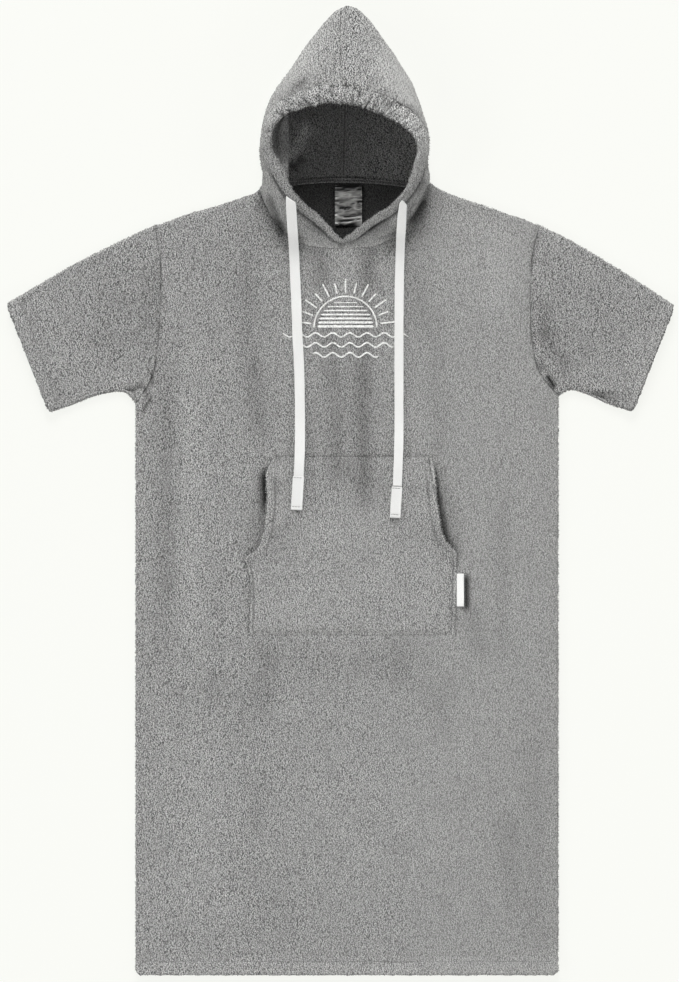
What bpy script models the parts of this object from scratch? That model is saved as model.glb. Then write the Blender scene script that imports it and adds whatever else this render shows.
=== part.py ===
"""Hooded bath poncho of grey terry cloth, laid flat on its back with the hood propped open.

Sizes are in millimetres: x runs across from the centre line, y up from the hem, z up from
the surface that the poncho lies on. ORIGIN moves the finished model so that the middle of
its box stands on the origin, and the meshes are in metres.
"""

import math

import bpy
import numpy as np
from mathutils.bvhtree import BVHTree

MM = 0.001

# Cloth and seams
CLOTH = 2.5  # terry cloth, one layer
GAP = 0.3  # between pieces that are sewn together
HEM_BAND = 21.0  # width of the turned hem
HEM_EXTRA = 1.8  # how much thicker the turned hem is
LAYER_REST = 1.6  # air that the folds leave between the front and the back
SEAM_FLAT = 42.0  # width beside a seam over which the front comes down on the back

# Body
BODY_HALF = 295.5
NECK_POINT = (118.0, 1100.0)
BACK_NECK_RISE = 12.0
ORIGIN = (-9.1, 678.6)

# Each side's own outline: the cloth doesn't lie quite the same on both.
SIDES = {
    "left": {
        "sign": -1.0,
        "shoulder_tip": (269.5, 1049.0),
        "underarm": (295.5, 800.0),
        "armhole": [(262.5, 1008.0), (261.8, 930.0), (266.0, 876.0), (274.0, 834.0)],
        "cuff_top": (476.0, 939.5),
        "cuff_bottom": (415.8, 788.5),
        "sleeve_top": [(301.0, 1034.6), (385.0, 992.6)],
        "sleeve_bottom": [(308.0, 814.5), (346.0, 813.0), (384.0, 799.0)],
    },
    "right": {
        "sign": 1.0,
        "shoulder_tip": (269.5, 1049.0),
        "underarm": (295.5, 811.0),
        "armhole": [(260.5, 1008.0), (257.6, 940.0), (259.5, 886.0), (270.0, 843.0)],
        "cuff_top": (457.8, 937.0),
        "cuff_bottom": (399.0, 789.6),
        "sleeve_top": [(299.6, 1034.6), (372.4, 992.6)],
        "sleeve_bottom": [(311.0, 819.0), (336.0, 813.5), (364.0, 800.5)],
    },
}

# Front neckline seen from the middle of the face opening: angle, distance
NECKLINE = [
    (-90.0, 111.0), (-78.0, 113.5), (-65.0, 118.0), (-51.0, 120.5), (-33.0, 118.5), (-14.6, 121.9),
]

# Soft folds of the front: from (x, y) to (x, y), half width, height (a trough is negative)
FOLDS = [
    (-247, 890, -250, 320, 17, -1.9),
    (-222, 900, -228, 380, 20, 1.8),
    (-252, 1030, -254, 880, 16, -1.2),
    (-143, 1064, -136, 880, 18, -1.7),
    (-136, 880, -112, 735, 18, -1.6),
    (-118, 1010, -104, 840, 18, 1.5),
    (-31, 1016, -31, 960, 15, -1.3),
    (-12, 890, -10, 640, 16, -1.7),
    (5, 1005, 8, 640, 15, 2.1),
    (31, 1012, 33, 850, 16, -1.6),
    (33, 850, 36, 640, 16, -2.2),
    (55, 1005, 58, 650, 17, 1.9),
    (91, 1012, 91, 780, 18, -1.2),
    (205, 960, 250, 868, 20, 2.2),
    (240, 1000, 252, 900, 16, -1.2),
    (200, 590, 232, 500, 20, -1.2),
    (168, 500, 205, 410, 20, -1.2),
    (-108, 462, -104, 318, 18, -1.4),
    (-157, 400, -155, 310, 18, -1.3),
    (-130, 440, -132, 330, 18, 1.4),
    (67, 430, 70, 400, 22, -1.0),
    (-136, 285, -108, 186, 18, -1.2),
    (266, 330, 270, 170, 18, -1.5),
    (-225, 180, -262, 70, 20, -1.2),
    (180, 300, 120, 120, 30, 1.2),
    (-40, 360, -20, 160, 32, 1.2),
]

# Sleeve folds, in the same columns
SLEEVE_FOLDS = [
    (-330, 1000, -318, 850, 18, -1.6),
    (-300, 860, -360, 900, 16, -1.8),
    (-390, 960, -366, 830, 20, 1.4),
    (276, 992, 290, 925, 16, -1.6),
    (279, 895, 318, 845, 16, -2.2),
    (330, 985, 352, 860, 20, 1.6),
    (345, 950, 372, 850, 17, -1.4),
]

# Hood, seen from the middle of the face opening. Each rib runs from the face edge out to
# the side, down to the surface and in to the neck seam: angle in degrees, then distance
# and height of each point.
FACE_MIDDLE = 1130.0
HOOD_LEAN = ((1030.0, -7.0), (1340.0, 0.0))
HOOD_COLUMNS = (
    "angle", "face_left", "face_right", "face_z", "upper_r", "upper_z",
    "side_r", "side_z", "floor_r", "floor_z",
)
HOOD_RIBS = [
    (-90, 100, 100, 9, 103, 8.6, 106, 7.6, 108, 5.6),
    (-78, 84, 89, 14, 93, 13.6, 102, 11.4, 109, 7),
    (-60, 73.5, 81, 23, 87, 22, 101, 18, 113, 9),
    (-40, 74.5, 85, 34, 91, 34, 106, 27, 115, 11),
    (-20, 78, 91, 45, 97, 46, 115, 32, 118.5, 10),
    (0, 86, 97, 56, 106, 54, 118, 32, 109, 1.25),
    (18, 107.5, 106.5, 66, 119, 57, 124.5, 34, 112, 1.25),
    (36, 113, 98, 74, 127, 61, 135, 33, 120, 1.25),
    (54, 100.5, 90, 79, 132, 66, 152.5, 28, 138, 1.25),
    (72, 93, 86, 83, 140, 68, 182, 20, 168, 1.25),
    (82, 89.5, 87, 84.5, 147, 66, 209, 13.5, 196, 1.25),
    (86, 88.5, 87.5, 85, 149, 65, 221.5, 11.5, 208, 1.25),
    (90, 88, 88, 85, 150, 65, 225, 11, 211.5, 1.25),
]
NECK_ANGLE = -14.6  # where the hood passes from the front neckline to the back one
CASING_WIDTH = 26.0
STITCH_SLACK = 0.6  # room that the casing's finer curve needs inside the hood's coarser one
CASING_SHARE = 0.6  # of a short rib's length, where the casing narrows towards the throat
GATHERS = 17
GATHER_ANGLES = (30.0, 128.0)  # counted from the right side over the top
GATHER_DEPTH = 2.0

# Section of the casing, the hood's edge turned in over its cord: distance, half thickness
CASING_SECTION = [(0.0, 0.0), (1.6, 2.5), (8.0, 3.3), (18.0, 2.6), (26.0, 1.4)]

# Kangaroo pocket: its outline, from the bottom corner up each side
POCKET_LEFT = [
    (-136, 476), (-140, 574), (-142.5, 582), (-127, 595),
    (-118, 622), (-112.5, 662), (-110.5, 710), (-101, 725),
]
POCKET_RIGHT = [
    (150, 476), (153.5, 580), (153.5, 590), (138, 609),
    (130.5, 637), (125, 682), (121.5, 712), (119, 725),
]
POCKET_OPENS = (578.0, 630.0)  # between these heights the mouths begin to stand open
POCKET_CLOSES = (678.0, 718.0)  # and between these they close again
POCKET_GAPE = 5.0
POCKET_GAPE_WIDTH = 62.0  # how far in from a mouth the cloth is lifted
POCKET_CLEAR = 0.6
POCKET_GRID = (16, 15)  # rows, columns

# Drawstrings: flat tape, with the route of its middle line as x, y, z
TAPE_HALF_WIDTH = 5.5
TAPE_HALF_THICKNESS = 0.8
TIP_WIDTH = 15.0
TIP_THICKNESS = 3.4
STRINGS = {
    "left": {
        "route": [
            (-80.5, 1089, 47.0), (-79.0, 1080, 44.5), (-77.5, 1066, 36.5), (-76.0, 1050, 25.0),
            (-74.8, 1036, 15.2), (-73.8, 1020, 10.4), (-72.4, 984, 9.6), (-70.6, 940, 9.6),
            (-69.4, 895, 9.6), (-67.2, 855, 9.6), (-66.0, 800, 9.6), (-65.8, 760, 10.4),
            (-65.9, 738, 12.4), (-66.3, 718, 13.8), (-67.2, 701, 13.8),
        ],
        "tip": [(-67.3, 699.4), (-70.6, 651)],
    },
    "right": {
        "route": [
            (77.4, 1086, 46.5), (77.2, 1077, 44.0), (76.8, 1064, 36.0), (76.2, 1050, 26.0),
            (75.4, 1036, 15.6), (74.8, 1020, 10.4), (73.6, 984, 9.6), (73.0, 940, 9.6),
            (72.8, 895, 9.6), (72.8, 850, 9.6), (72.8, 800, 9.6), (72.8, 760, 10.4),
            (72.4, 738, 12.4), (71.6, 716, 13.8), (70.8, 692, 13.8),
        ],
        "tip": [(70.7, 690.4), (67.2, 640)],
    },
}

NECK_LABEL = {"x": (-17.0, 21.0), "y": (1049.0, 1106.0), "thickness": 0.6}
POCKET_LABEL = {"x": (154.6, 164.6), "y": (516.0, 562.0), "thickness": 0.8}

TERRY_GREY = (0.29, 0.29, 0.285, 1.0)
TAPE_WHITE = (0.86, 0.86, 0.84, 1.0)
SATIN_WHITE = (0.80, 0.79, 0.76, 1.0)


# Curves and surfaces


def eased(value, low, high):
    """0 below low, 1 above high, and a smooth step between them."""
    share = np.clip((np.asarray(value, float) - low) / (high - low), 0.0, 1.0)
    return share * share * (3.0 - 2.0 * share)


def smooth_path(points, samples):
    """Points on a smooth curve through the given ones, with samples steps between each two."""
    points = np.asarray(points, float)
    steps = np.linalg.norm(np.diff(points, axis=0), axis=-1, keepdims=True) + 1e-9
    slopes = np.diff(points, axis=0) / steps
    inner = (slopes[:-1] * steps[1:] + slopes[1:] * steps[:-1]) / (steps[1:] + steps[:-1])
    tangents = np.concatenate([slopes[:1], inner, slopes[-1:]])
    t = np.linspace(0.0, 1.0, samples + 1)[:-1].reshape((1, samples) + (1,) * (points.ndim - 1))
    start = points[:-1, None]
    end = points[1:, None]
    leave = (tangents[:-1] * steps)[:, None]
    arrive = (tangents[1:] * steps)[:, None]
    curve = (
        start * (2 * t**3 - 3 * t**2 + 1)
        + leave * (t**3 - 2 * t**2 + t)
        + end * (3 * t**2 - 2 * t**3)
        + arrive * (t**3 - t**2)
    )
    curve = curve.reshape((-1,) + points.shape[1:])
    return np.concatenate([curve, points[-1:]])


def evenly(points, count):
    """count points at even distances along a polyline."""
    points = np.asarray(points, float)
    lengths = np.linalg.norm(np.diff(points, axis=0), axis=1)
    along = np.concatenate([[0.0], np.cumsum(lengths)])
    wanted = np.linspace(0.0, along[-1], count)
    return np.stack([np.interp(wanted, along, points[:, k]) for k in range(points.shape[1])], axis=1)


def table_value(at, keys, values):
    """A smooth curve through a table's rows, read at the given keys."""
    keys = np.asarray(keys, float)
    values = np.asarray(values, float)
    slopes = np.diff(values) / np.diff(keys)
    steps = np.diff(keys)
    inner = (slopes[:-1] * steps[1:] + slopes[1:] * steps[:-1]) / (steps[1:] + steps[:-1])
    tangents = np.concatenate([slopes[:1], inner, slopes[-1:]])
    i = np.clip(np.searchsorted(keys, at, side="right") - 1, 0, len(steps) - 1)
    t = (at - keys[i]) / steps[i]
    return (
        values[i] * (2 * t**3 - 3 * t**2 + 1)
        + tangents[i] * steps[i] * (t**3 - 2 * t**2 + t)
        + values[i + 1] * (3 * t**2 - 2 * t**3)
        + tangents[i + 1] * steps[i] * (t**3 - t**2)
    )


def patch(bottom, top, left, right, across, up):
    """Fills four edges: the blend of the two pairs of edges less the blend of the corners."""
    u = np.asarray(across, float)[None, :, None]
    v = np.asarray(up, float)[:, None, None]
    corners = (
        (1 - u) * (1 - v) * bottom[0] + u * (1 - v) * bottom[-1]
        + (1 - u) * v * top[0] + u * v * top[-1]
    )
    upwards = (1 - v) * bottom[None] + v * top[None]
    sideways = (1 - u) * left[:, None] + u * right[:, None]
    return upwards + sideways - corners


def fold_height(x, y, folds):
    """Sum of the folds: each is a soft bump across its line that fades at both ends."""
    height = np.zeros_like(x)
    for x0, y0, x1, y1, half_width, rise in folds:
        length = math.hypot(x1 - x0, y1 - y0)
        along = ((x - x0) * (x1 - x0) + (y - y0) * (y1 - y0)) / length
        aside = ((x - x0) * (y1 - y0) - (y - y0) * (x1 - x0)) / length
        start = eased(along, -0.1 * length - 10, 0.25 * length)
        end = eased(-along, -1.1 * length - 10, -0.75 * length)
        height += rise * start * end * np.exp(-0.5 * (aside / half_width) ** 2)
    return height


def edge_distance(grid):
    """Each grid point's distance to the nearest edge, along its row or column."""
    def run(axis):
        steps = np.linalg.norm(np.diff(grid, axis=axis), axis=-1)
        zero = np.zeros_like(np.take(steps, [0], axis=axis))
        along = np.concatenate([zero, np.cumsum(steps, axis=axis)], axis=axis)
        return np.minimum(along, np.take(along, [-1], axis=axis) - along)

    return np.minimum(run(0), run(1))


# Meshes


def cloth_material(name, colour, roughness):
    material = bpy.data.materials.new(name)
    material.use_nodes = True
    shader = material.node_tree.nodes["Principled BSDF"]
    shader.inputs["Base Color"].default_value = colour
    shader.inputs["Roughness"].default_value = roughness
    shader.inputs["Metallic"].default_value = 0.0
    return material


def to_world(points):
    """Millimetres from the hem and the centre line to metres from the box's middle."""
    moved = np.array(points, float)
    moved[..., 0] -= ORIGIN[0]
    moved[..., 1] -= ORIGIN[1]
    return moved * MM


def add_mesh(name, points, faces, colour, roughness=0.95):
    mesh = bpy.data.meshes.new(name)
    mesh.from_pydata(to_world(points).tolist(), [], [list(map(int, face)) for face in faces])
    mesh.validate()
    mesh.shade_smooth()
    mesh.set_sharp_from_angle(angle=math.radians(50))
    mesh.materials.append(cloth_material(name + "_cloth", colour, roughness))
    piece = bpy.data.objects.new(name, mesh)
    bpy.context.scene.collection.objects.link(piece)
    return piece


def grid_faces(rows, columns, wrap):
    """Quads of a grid, counter-clockwise with columns to the right and rows upwards."""
    last = columns if wrap else columns - 1
    i, j = np.meshgrid(np.arange(rows - 1), np.arange(last), indexing="ij")
    k = (j + 1) % columns
    low = i * columns
    high = low + columns
    return np.stack([low + j, low + k, high + k, high + j], -1).reshape(-1, 4)


def border(rows, columns, wrap):
    """The grid's open edges, as closed loops of point numbers."""
    last = (rows - 1) * columns
    if wrap:
        return [list(range(columns)), list(range(last + columns - 1, last - 1, -1))]
    loop = list(range(columns))
    loop += [i * columns + columns - 1 for i in range(1, rows)]
    loop += list(range(last + columns - 2, last - 1, -1))
    loop += [i * columns for i in range(rows - 2, 0, -1)]
    return [loop]


def signed_volume(points, faces):
    volume = 0.0
    for face in faces:
        a = points[face[0]]
        for second, third in zip(face[1:-1], face[2:]):
            volume += np.dot(a, np.cross(points[second], points[third]))
    return volume


def add_wall(name, outer, inner, colour=TERRY_GREY, wrap=False, roughness=0.95):
    """A wall between two grids of points, closed along its open edges."""
    rows, columns = outer.shape[:2]
    half = rows * columns
    points = np.concatenate([outer.reshape(-1, 3), inner.reshape(-1, 3)])
    quads = grid_faces(rows, columns, wrap)
    faces = list(quads) + list(quads[:, ::-1] + half)
    for loop in border(rows, columns, wrap):
        for a, b in zip(loop, loop[1:] + loop[:1]):
            faces.append((b, a, a + half, b + half))
    if signed_volume(points, faces) < 0:
        faces = [tuple(face)[::-1] for face in faces]
    return add_mesh(name, points, faces, colour, roughness)


def add_loft(name, sections, colour, roughness=0.95):
    """A solid through closed sections, capped at both ends."""
    stations, around = sections.shape[:2]
    points = sections.reshape(-1, 3)
    last = (stations - 1) * around
    faces = list(grid_faces(stations, around, True))
    faces.append(list(range(around))[::-1])
    faces.append(list(range(last, last + around)))
    if signed_volume(points, faces) < 0:
        faces = [tuple(face)[::-1] for face in faces]
    return add_mesh(name, points, faces, colour, roughness)


def with_height(plan, height):
    return np.concatenate([plan, height[..., None]], axis=-1)


# Outline of the body

BACK_ROWS = 8  # rows from the hem to the underarm
FRONT_ROWS = 21
ARMHOLE_ROWS = 12
SHOULDER_COLUMNS = 5
COLLAR_STEPS = 10  # ribs between the throat and the shoulder, on each side
HOOD_STEPS = 15  # ribs between the shoulder and the crown
CROWN_ANGLES = (83.0, 86.5, 90.0)


def lean(y):
    """How far the hood's centre line lies beside the body's."""
    (low, at_low), (high, at_high) = HOOD_LEAN
    return at_low + (at_high - at_low) * (y - low) / (high - low)


def collar_angles():
    return np.linspace(-90.0, NECK_ANGLE, COLLAR_STEPS + 1)


def neckline(sign, out=0.0):
    """Points of the front neckline from the throat to one shoulder."""
    angles = collar_angles()
    radius = table_value(angles, *np.array(NECKLINE).T) + out
    y = FACE_MIDDLE + radius * np.sin(np.radians(angles))
    return np.stack([lean(y) + sign * radius * np.cos(np.radians(angles)), y], axis=1)


def back_neck_y(x):
    share = (np.asarray(x, float) - lean(NECK_POINT[1])) / NECK_POINT[0]
    return NECK_POINT[1] + BACK_NECK_RISE * (1.0 - share**2)


def armhole(side, out=0.0):
    """The armhole seam of one side, from the underarm to the shoulder's tip."""
    row = SIDES[side]
    points = [row["underarm"]] + row["armhole"][::-1] + [row["shoulder_tip"]]
    curve = evenly(smooth_path(points, 8), ARMHOLE_ROWS + 1)
    return np.stack([row["sign"] * (curve[:, 0] + out), curve[:, 1]], axis=1)


def body_side(side, rows):
    """One side of a body panel: straight up from the hem, then the armhole."""
    row = SIDES[side]
    x = row["sign"] * BODY_HALF
    straight = np.linspace((x, 0.0), (x, row["underarm"][1]), rows + 1)
    # two close rows at the hem carry the turned band's step
    straight[1:3, 1] = (HEM_BAND - 1.5, HEM_BAND + 4.0)
    return np.concatenate([straight[:-1], armhole(side)])


def shoulder(side, neck_end):
    row = SIDES[side]
    tip = np.array((row["sign"] * row["shoulder_tip"][0], row["shoulder_tip"][1]))
    steps = np.linspace(0.0, 1.0, SHOULDER_COLUMNS + 1)[:, None]
    return tip + (neck_end - tip) * steps


def body_panel(neck, side_rows):
    """A panel's points in plan: hem, sides with armholes, shoulders and the given neckline."""
    left = body_side("left", side_rows)
    right = body_side("right", side_rows)
    top = np.concatenate([
        shoulder("left", neck[0])[:-1],
        neck,
        shoulder("right", neck[-1])[::-1][1:],
    ])
    bottom = np.linspace(left[0], right[0], len(top))
    across = np.linspace(0.0, 1.0, len(top))
    return patch(bottom, top, left, right, across, left[:, 1] / left[-1, 1])


def hem_step(y):
    """1 on the turned hem, 0 above it."""
    return 1.0 - eased(y, HEM_BAND - 1.0, HEM_BAND + 3.5)


def build_back():
    x = np.linspace(neckline(-1.0)[-1, 0], neckline(1.0)[-1, 0], 9)
    plan = body_panel(np.stack([x, back_neck_y(x) - GAP], axis=1), BACK_ROWS)
    top = CLOTH + HEM_EXTRA * hem_step(plan[..., 1])
    return add_wall("back", with_height(plan, top), with_height(plan, np.zeros_like(top)))


def front_lift(plan):
    """How far the front lies above the back: soft folds that close up at the seams."""
    inner = eased(edge_distance(plan), 0.0, SEAM_FLAT)
    folds = fold_height(plan[..., 0], plan[..., 1], FOLDS)
    return np.maximum(0.0, inner * (LAYER_REST + folds))


def build_front():
    left = neckline(-1.0, GAP)[::-1]
    right = neckline(1.0, GAP)[1:]
    plan = body_panel(np.concatenate([left, right]), FRONT_ROWS)
    band = hem_step(plan[..., 1])
    low = CLOTH + GAP + HEM_EXTRA * band + front_lift(plan)
    high = low + CLOTH + HEM_EXTRA * band
    return add_wall("front", with_height(plan, high), with_height(plan, low))


# Sleeves

SLEEVE_STATIONS = 12
SLEEVE_LENGTH = 200.0  # about, along the middle
SLEEVE_FLAT = 45.0  # width beside each folded edge over which the upper layer comes down
FOLD_BEND = 1.75  # half the distance between the layers' middles at a folded edge
HEM_BEND = 1.3  # what the turned hem adds to it
SLEEVE_AIR = 1.2
FOLD_POINTS = 4  # points round each folded edge


def sleeve_plan(side):
    """The sleeve's outline in plan: rows from the top fold to the underarm, columns outwards."""
    row = SIDES[side]
    sign = row["sign"]
    start = armhole(side, GAP)[::-1] * (sign, 1.0)
    top = evenly(smooth_path([start[0], *row["sleeve_top"], row["cuff_top"]], 8), SLEEVE_STATIONS)
    bottom = evenly(smooth_path([start[-1], *row["sleeve_bottom"], row["cuff_bottom"]], 8), SLEEVE_STATIONS)
    cuff = np.linspace(row["cuff_top"], row["cuff_bottom"], len(start))
    along = np.linspace(0.0, 1.0, SLEEVE_STATIONS)
    along[-2] = 1.0 - (HEM_BAND - 2.0) / SLEEVE_LENGTH
    along[-3] = 1.0 - (HEM_BAND + 5.0) / SLEEVE_LENGTH
    even = np.linspace(0.0, 1.0, SLEEVE_STATIONS)
    top = np.stack([np.interp(along, even, top[:, k]) for k in (0, 1)], axis=1)
    bottom = np.stack([np.interp(along, even, bottom[:, k]) for k in (0, 1)], axis=1)
    rows = np.linspace(0.0, 1.0, len(start))
    plan = patch(top, bottom, start, cuff, along, rows)
    return plan * (sign, 1.0), along


def build_sleeve(side):
    """A flattened tube: the upper layer, a folded edge, the lower layer and the other edge."""
    plan, along = sleeve_plan(side)
    rows = plan.shape[0]
    to_cuff = (1.0 - along) * SLEEVE_LENGTH
    band = 1.0 - eased(to_cuff, HEM_BAND - 1.5, HEM_BAND + 4.5)
    bend = FOLD_BEND + HEM_BEND * band
    width = np.linalg.norm(plan[-1] - plan[0], axis=-1)
    across = np.linspace(0.0, 1.0, rows)
    inset = (CLOTH / 2 + bend) / width

    def at(share):
        """Plan points at a share of the width, from the top fold to the underarm."""
        place = np.clip(share, -0.2, 1.2) * (rows - 1)
        low = np.clip(np.floor(place).astype(int), 0, rows - 2)
        part = (place - low)[..., None]
        column = np.arange(plan.shape[1])
        return plan[low, column] * (1 - part) + plan[low + 1, column] * part

    outer = []
    inner = []
    thick = CLOTH / 2 + HEM_EXTRA * 0.8 * band

    def add(share, height, sideways, upwards):
        """One line along the sleeve: sideways and upwards give the wall's outward direction."""
        out_plan = at(share + sideways * CLOTH / 2 / width)
        in_plan = at(share - sideways * thick / width)
        outer.append(with_height(out_plan, height + upwards * CLOTH / 2))
        inner.append(with_height(in_plan, height - upwards * thick))

    upper = CLOTH / 2 + 2 * bend
    for share in across:
        inside = inset + (1 - 2 * inset) * share
        here = at(inside)
        lift = fold_height(here[:, 0], here[:, 1], SLEEVE_FOLDS) + SLEEVE_AIR
        lift = lift * eased(share * width, 0, SLEEVE_FLAT) * eased((1 - share) * width, 0, SLEEVE_FLAT)
        lift = lift * eased(along, 0.0, 0.22) * (1 - 0.7 * band)
        add(inside, upper + np.maximum(0.0, lift), 0.0, 1.0)
    turns = np.linspace(math.pi / 2, -math.pi / 2, FOLD_POINTS + 2)[1:-1]
    for turn in turns:
        share = 1 - inset + bend * math.cos(turn) / width
        add(share, CLOTH / 2 + bend + bend * math.sin(turn), math.cos(turn), math.sin(turn))
    for share in across[::-2]:
        add(inset + (1 - 2 * inset) * share, np.full(len(width), CLOTH / 2), 0.0, -1.0)
    for turn in turns[::-1]:
        share = inset - bend * math.cos(turn) / width
        add(share, CLOTH / 2 + bend + bend * math.sin(turn), -math.cos(turn), math.sin(turn))
    outer = np.stack(outer, axis=1)
    inner = np.stack(inner, axis=1)
    return add_wall("sleeve_" + side, outer, inner, wrap=True)


# Hood

RIB_SAMPLES = 24


def hood_ribs(side, angles):
    """Dense ribs of the hood's middle surface, from the face edge to the neck seam."""
    table = dict(zip(HOOD_COLUMNS, np.array(HOOD_RIBS, float).T))
    angles = np.asarray(angles, float)
    sine = np.sin(np.radians(angles))
    cosine = np.cos(np.radians(angles))

    def point(radius, height):
        return np.stack([radius * cosine, FACE_MIDDLE + radius * sine, height], axis=1)

    def column(name):
        return table_value(angles, table["angle"], table[name])

    face = point(column("face_" + side), column("face_z"))
    upper = point(column("upper_r"), column("upper_z"))
    flank = point(column("side_r"), column("side_z"))
    floor = point(column("floor_r"), np.maximum(CLOTH / 2, column("floor_z")))
    collar = np.minimum(angles, NECK_ANGLE)
    seam_r = table_value(collar, *np.array(NECKLINE).T) - CLOTH / 2
    seam_z = 4.05 - 0.4 * eased(angles, -22.0, NECK_ANGLE)
    front_seam = point(seam_r, seam_z)
    share = np.clip((angles - NECK_ANGLE) / (90.0 - NECK_ANGLE), 0.0, 1.0)
    corner = table_value(NECK_ANGLE, *np.array(NECKLINE).T) - CLOTH / 2
    x = corner * math.cos(math.radians(NECK_ANGLE)) * (1.0 - share)
    behind = eased(angles, NECK_ANGLE, NECK_ANGLE + 30.0)
    y = back_neck_y(x + lean(NECK_POINT[1])) + 1.7 - 1.6 * behind
    back_seam = np.stack([x, y, np.full(len(x), CLOTH / 2)], axis=1)
    fallen = eased(angles, NECK_ANGLE + 2.0, NECK_ANGLE + 14.0)
    back_seam[:, 2] += (front_seam[:, 2] - CLOTH / 2) * (1.0 - fallen)
    seam = np.where((angles > NECK_ANGLE)[:, None], back_seam, front_seam)
    ribs = smooth_path(np.stack([face, upper, flank, floor, seam]), RIB_SAMPLES)
    ribs[..., 2] = np.maximum(ribs[..., 2], CLOTH / 2)
    return np.transpose(ribs, (1, 0, 2))


def rib_lengths(ribs):
    steps = np.linalg.norm(np.diff(ribs, axis=1), axis=-1)
    return np.concatenate([np.zeros((len(ribs), 1)), np.cumsum(steps, axis=1)], axis=1)


def on_ribs(ribs, lengths, distances):
    """The points at the given distances from the face edge, a row of distances for each rib."""
    rows = [
        np.stack([np.interp(wanted, along, rib[:, k]) for k in range(3)], axis=1)
        for rib, along, wanted in zip(ribs, lengths, distances)
    ]
    return np.stack(rows)


def unit(vectors):
    return vectors / (np.linalg.norm(vectors, axis=-1, keepdims=True) + 1e-12)


def outward(grid):
    """Unit normals of a grid of rib points, pointing out of the hood."""
    return unit(np.cross(np.gradient(grid, axis=1), np.gradient(grid, axis=0)))


def casing_width(lengths):
    return np.minimum(CASING_WIDTH, CASING_SHARE * lengths[:, -1])


def placed(points, sign):
    """From the hood's own half to its side of the poncho."""
    moved = np.array(points)
    moved[..., 0] = lean(moved[..., 1]) + sign * moved[..., 0]
    return moved


def build_hood_half(side):
    sign = SIDES[side]["sign"]
    sides = np.linspace(NECK_ANGLE, CROWN_ANGLES[0], HOOD_STEPS)[1:]
    angles = np.concatenate([collar_angles(), sides, CROWN_ANGLES[1:]])
    ribs = hood_ribs(side, angles)
    lengths = rib_lengths(ribs)
    start = casing_width(lengths) + GAP + STITCH_SLACK
    share = np.linspace(0.0, 1.0, 15)[None, :]
    grid = on_ribs(ribs, lengths, start[:, None] + (lengths[:, -1:] - start[:, None]) * share)
    normal = outward(grid)
    normal[[0, -1], :, 0] = 0.0
    normal = unit(normal)
    outer = grid + normal * CLOTH / 2
    inner = grid - normal * CLOTH / 2
    for layer in (outer, inner):
        layer[..., 0] = np.maximum(layer[..., 0], GAP / 2)
        layer[..., 2] = np.maximum(layer[..., 2], 0.0)
    return add_wall("hood_" + side, placed(outer, sign), placed(inner, sign))


def casing_angles():
    """Stations round the face edge, from the throat over the right side to the left: closer
    together where it is gathered."""
    low, high = GATHER_ANGLES
    first = np.linspace(-90.0, low, 19)[:-1]
    gathered = np.linspace(low, high, GATHERS * 4 + 1)
    last = np.linspace(high, 270.0, 22)[1:]
    return np.concatenate([first, gathered, last])


def gather_wave(angles):
    """Uneven waves over the top of the face opening, fading at both ends."""
    low, high = GATHER_ANGLES
    share = np.clip((angles - low) / (high - low), 0.0, 1.0)
    turn = 2 * math.pi * share
    uneven = turn + 2 * math.pi * (0.006 * np.sin(3.0 * turn) + 0.004 * np.sin(7.0 * turn))
    envelope = eased(share, 0.0, 0.10) * (1 - eased(share, 0.90, 1.0))
    return envelope * np.sin(GATHERS * uneven)


def ribs_around(folded, right):
    return np.where(right[:, None, None], hood_ribs("right", folded), hood_ribs("left", folded))


def casing_line(folded, right, distances):
    """Points of the hood's middle surface at distances from the face edge, all on one side."""
    ribs = ribs_around(folded, right)
    return on_ribs(ribs, rib_lengths(ribs), distances)


def build_hood_casing():
    """The hood's edge, turned in over its cord and drawn up in small gathers over the top."""
    angles = casing_angles()
    right = angles <= 90.0
    folded = np.where(right, angles, 180.0 - angles)
    width = casing_width(rib_lengths(ribs_around(folded, right)))
    section = np.array(CASING_SECTION)
    distances = section[:, 0][None, :] * (width / CASING_WIDTH)[:, None]
    near, middle, far = (
        casing_line(np.clip(folded + step, -90.0, 90.0), right, distances)
        for step in (-0.5, 0.0, 0.5)
    )
    normal = unit(np.cross(np.gradient(middle, axis=1), far - near))
    wave = gather_wave(angles)
    reach = 1.0 - 0.85 * section[:, 0] / CASING_WIDTH
    slim = np.clip(width / CASING_WIDTH, 0.35, 1.0)
    middle = middle + normal * (wave[:, None] * reach * GATHER_DEPTH)[..., None]
    half = (section[:, 1][None, :] * slim[:, None])[..., None]
    outer = middle + normal * half
    inner = (middle - normal * half)[:, :0:-1]
    loops = np.concatenate([outer, inner], axis=1)
    loops[..., 0] *= np.where(right, 1.0, -1.0)[:, None]
    loops[0, :, 0] = GAP / 2
    loops[-1, :, 0] = -GAP / 2
    loops[..., 0] += lean(loops[..., 1])
    return add_loft("hood_casing", loops, TERRY_GREY)


# Pocket, strings and labels


def surface_above(piece):
    """A function that gives a piece's height, in millimetres, under points in plan."""
    depsgraph = bpy.context.evaluated_depsgraph_get()
    tree = BVHTree.FromObject(piece, depsgraph)

    def height(plan):
        world = to_world(with_height(plan, np.full(plan.shape[:-1], 500.0))).reshape(-1, 3)
        hits = [tree.ray_cast(point.tolist(), (0.0, 0.0, -1.0))[0] for point in world]
        return np.array([hit.z / MM if hit else 0.0 for hit in hits]).reshape(plan.shape[:-1])

    return height


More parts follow.
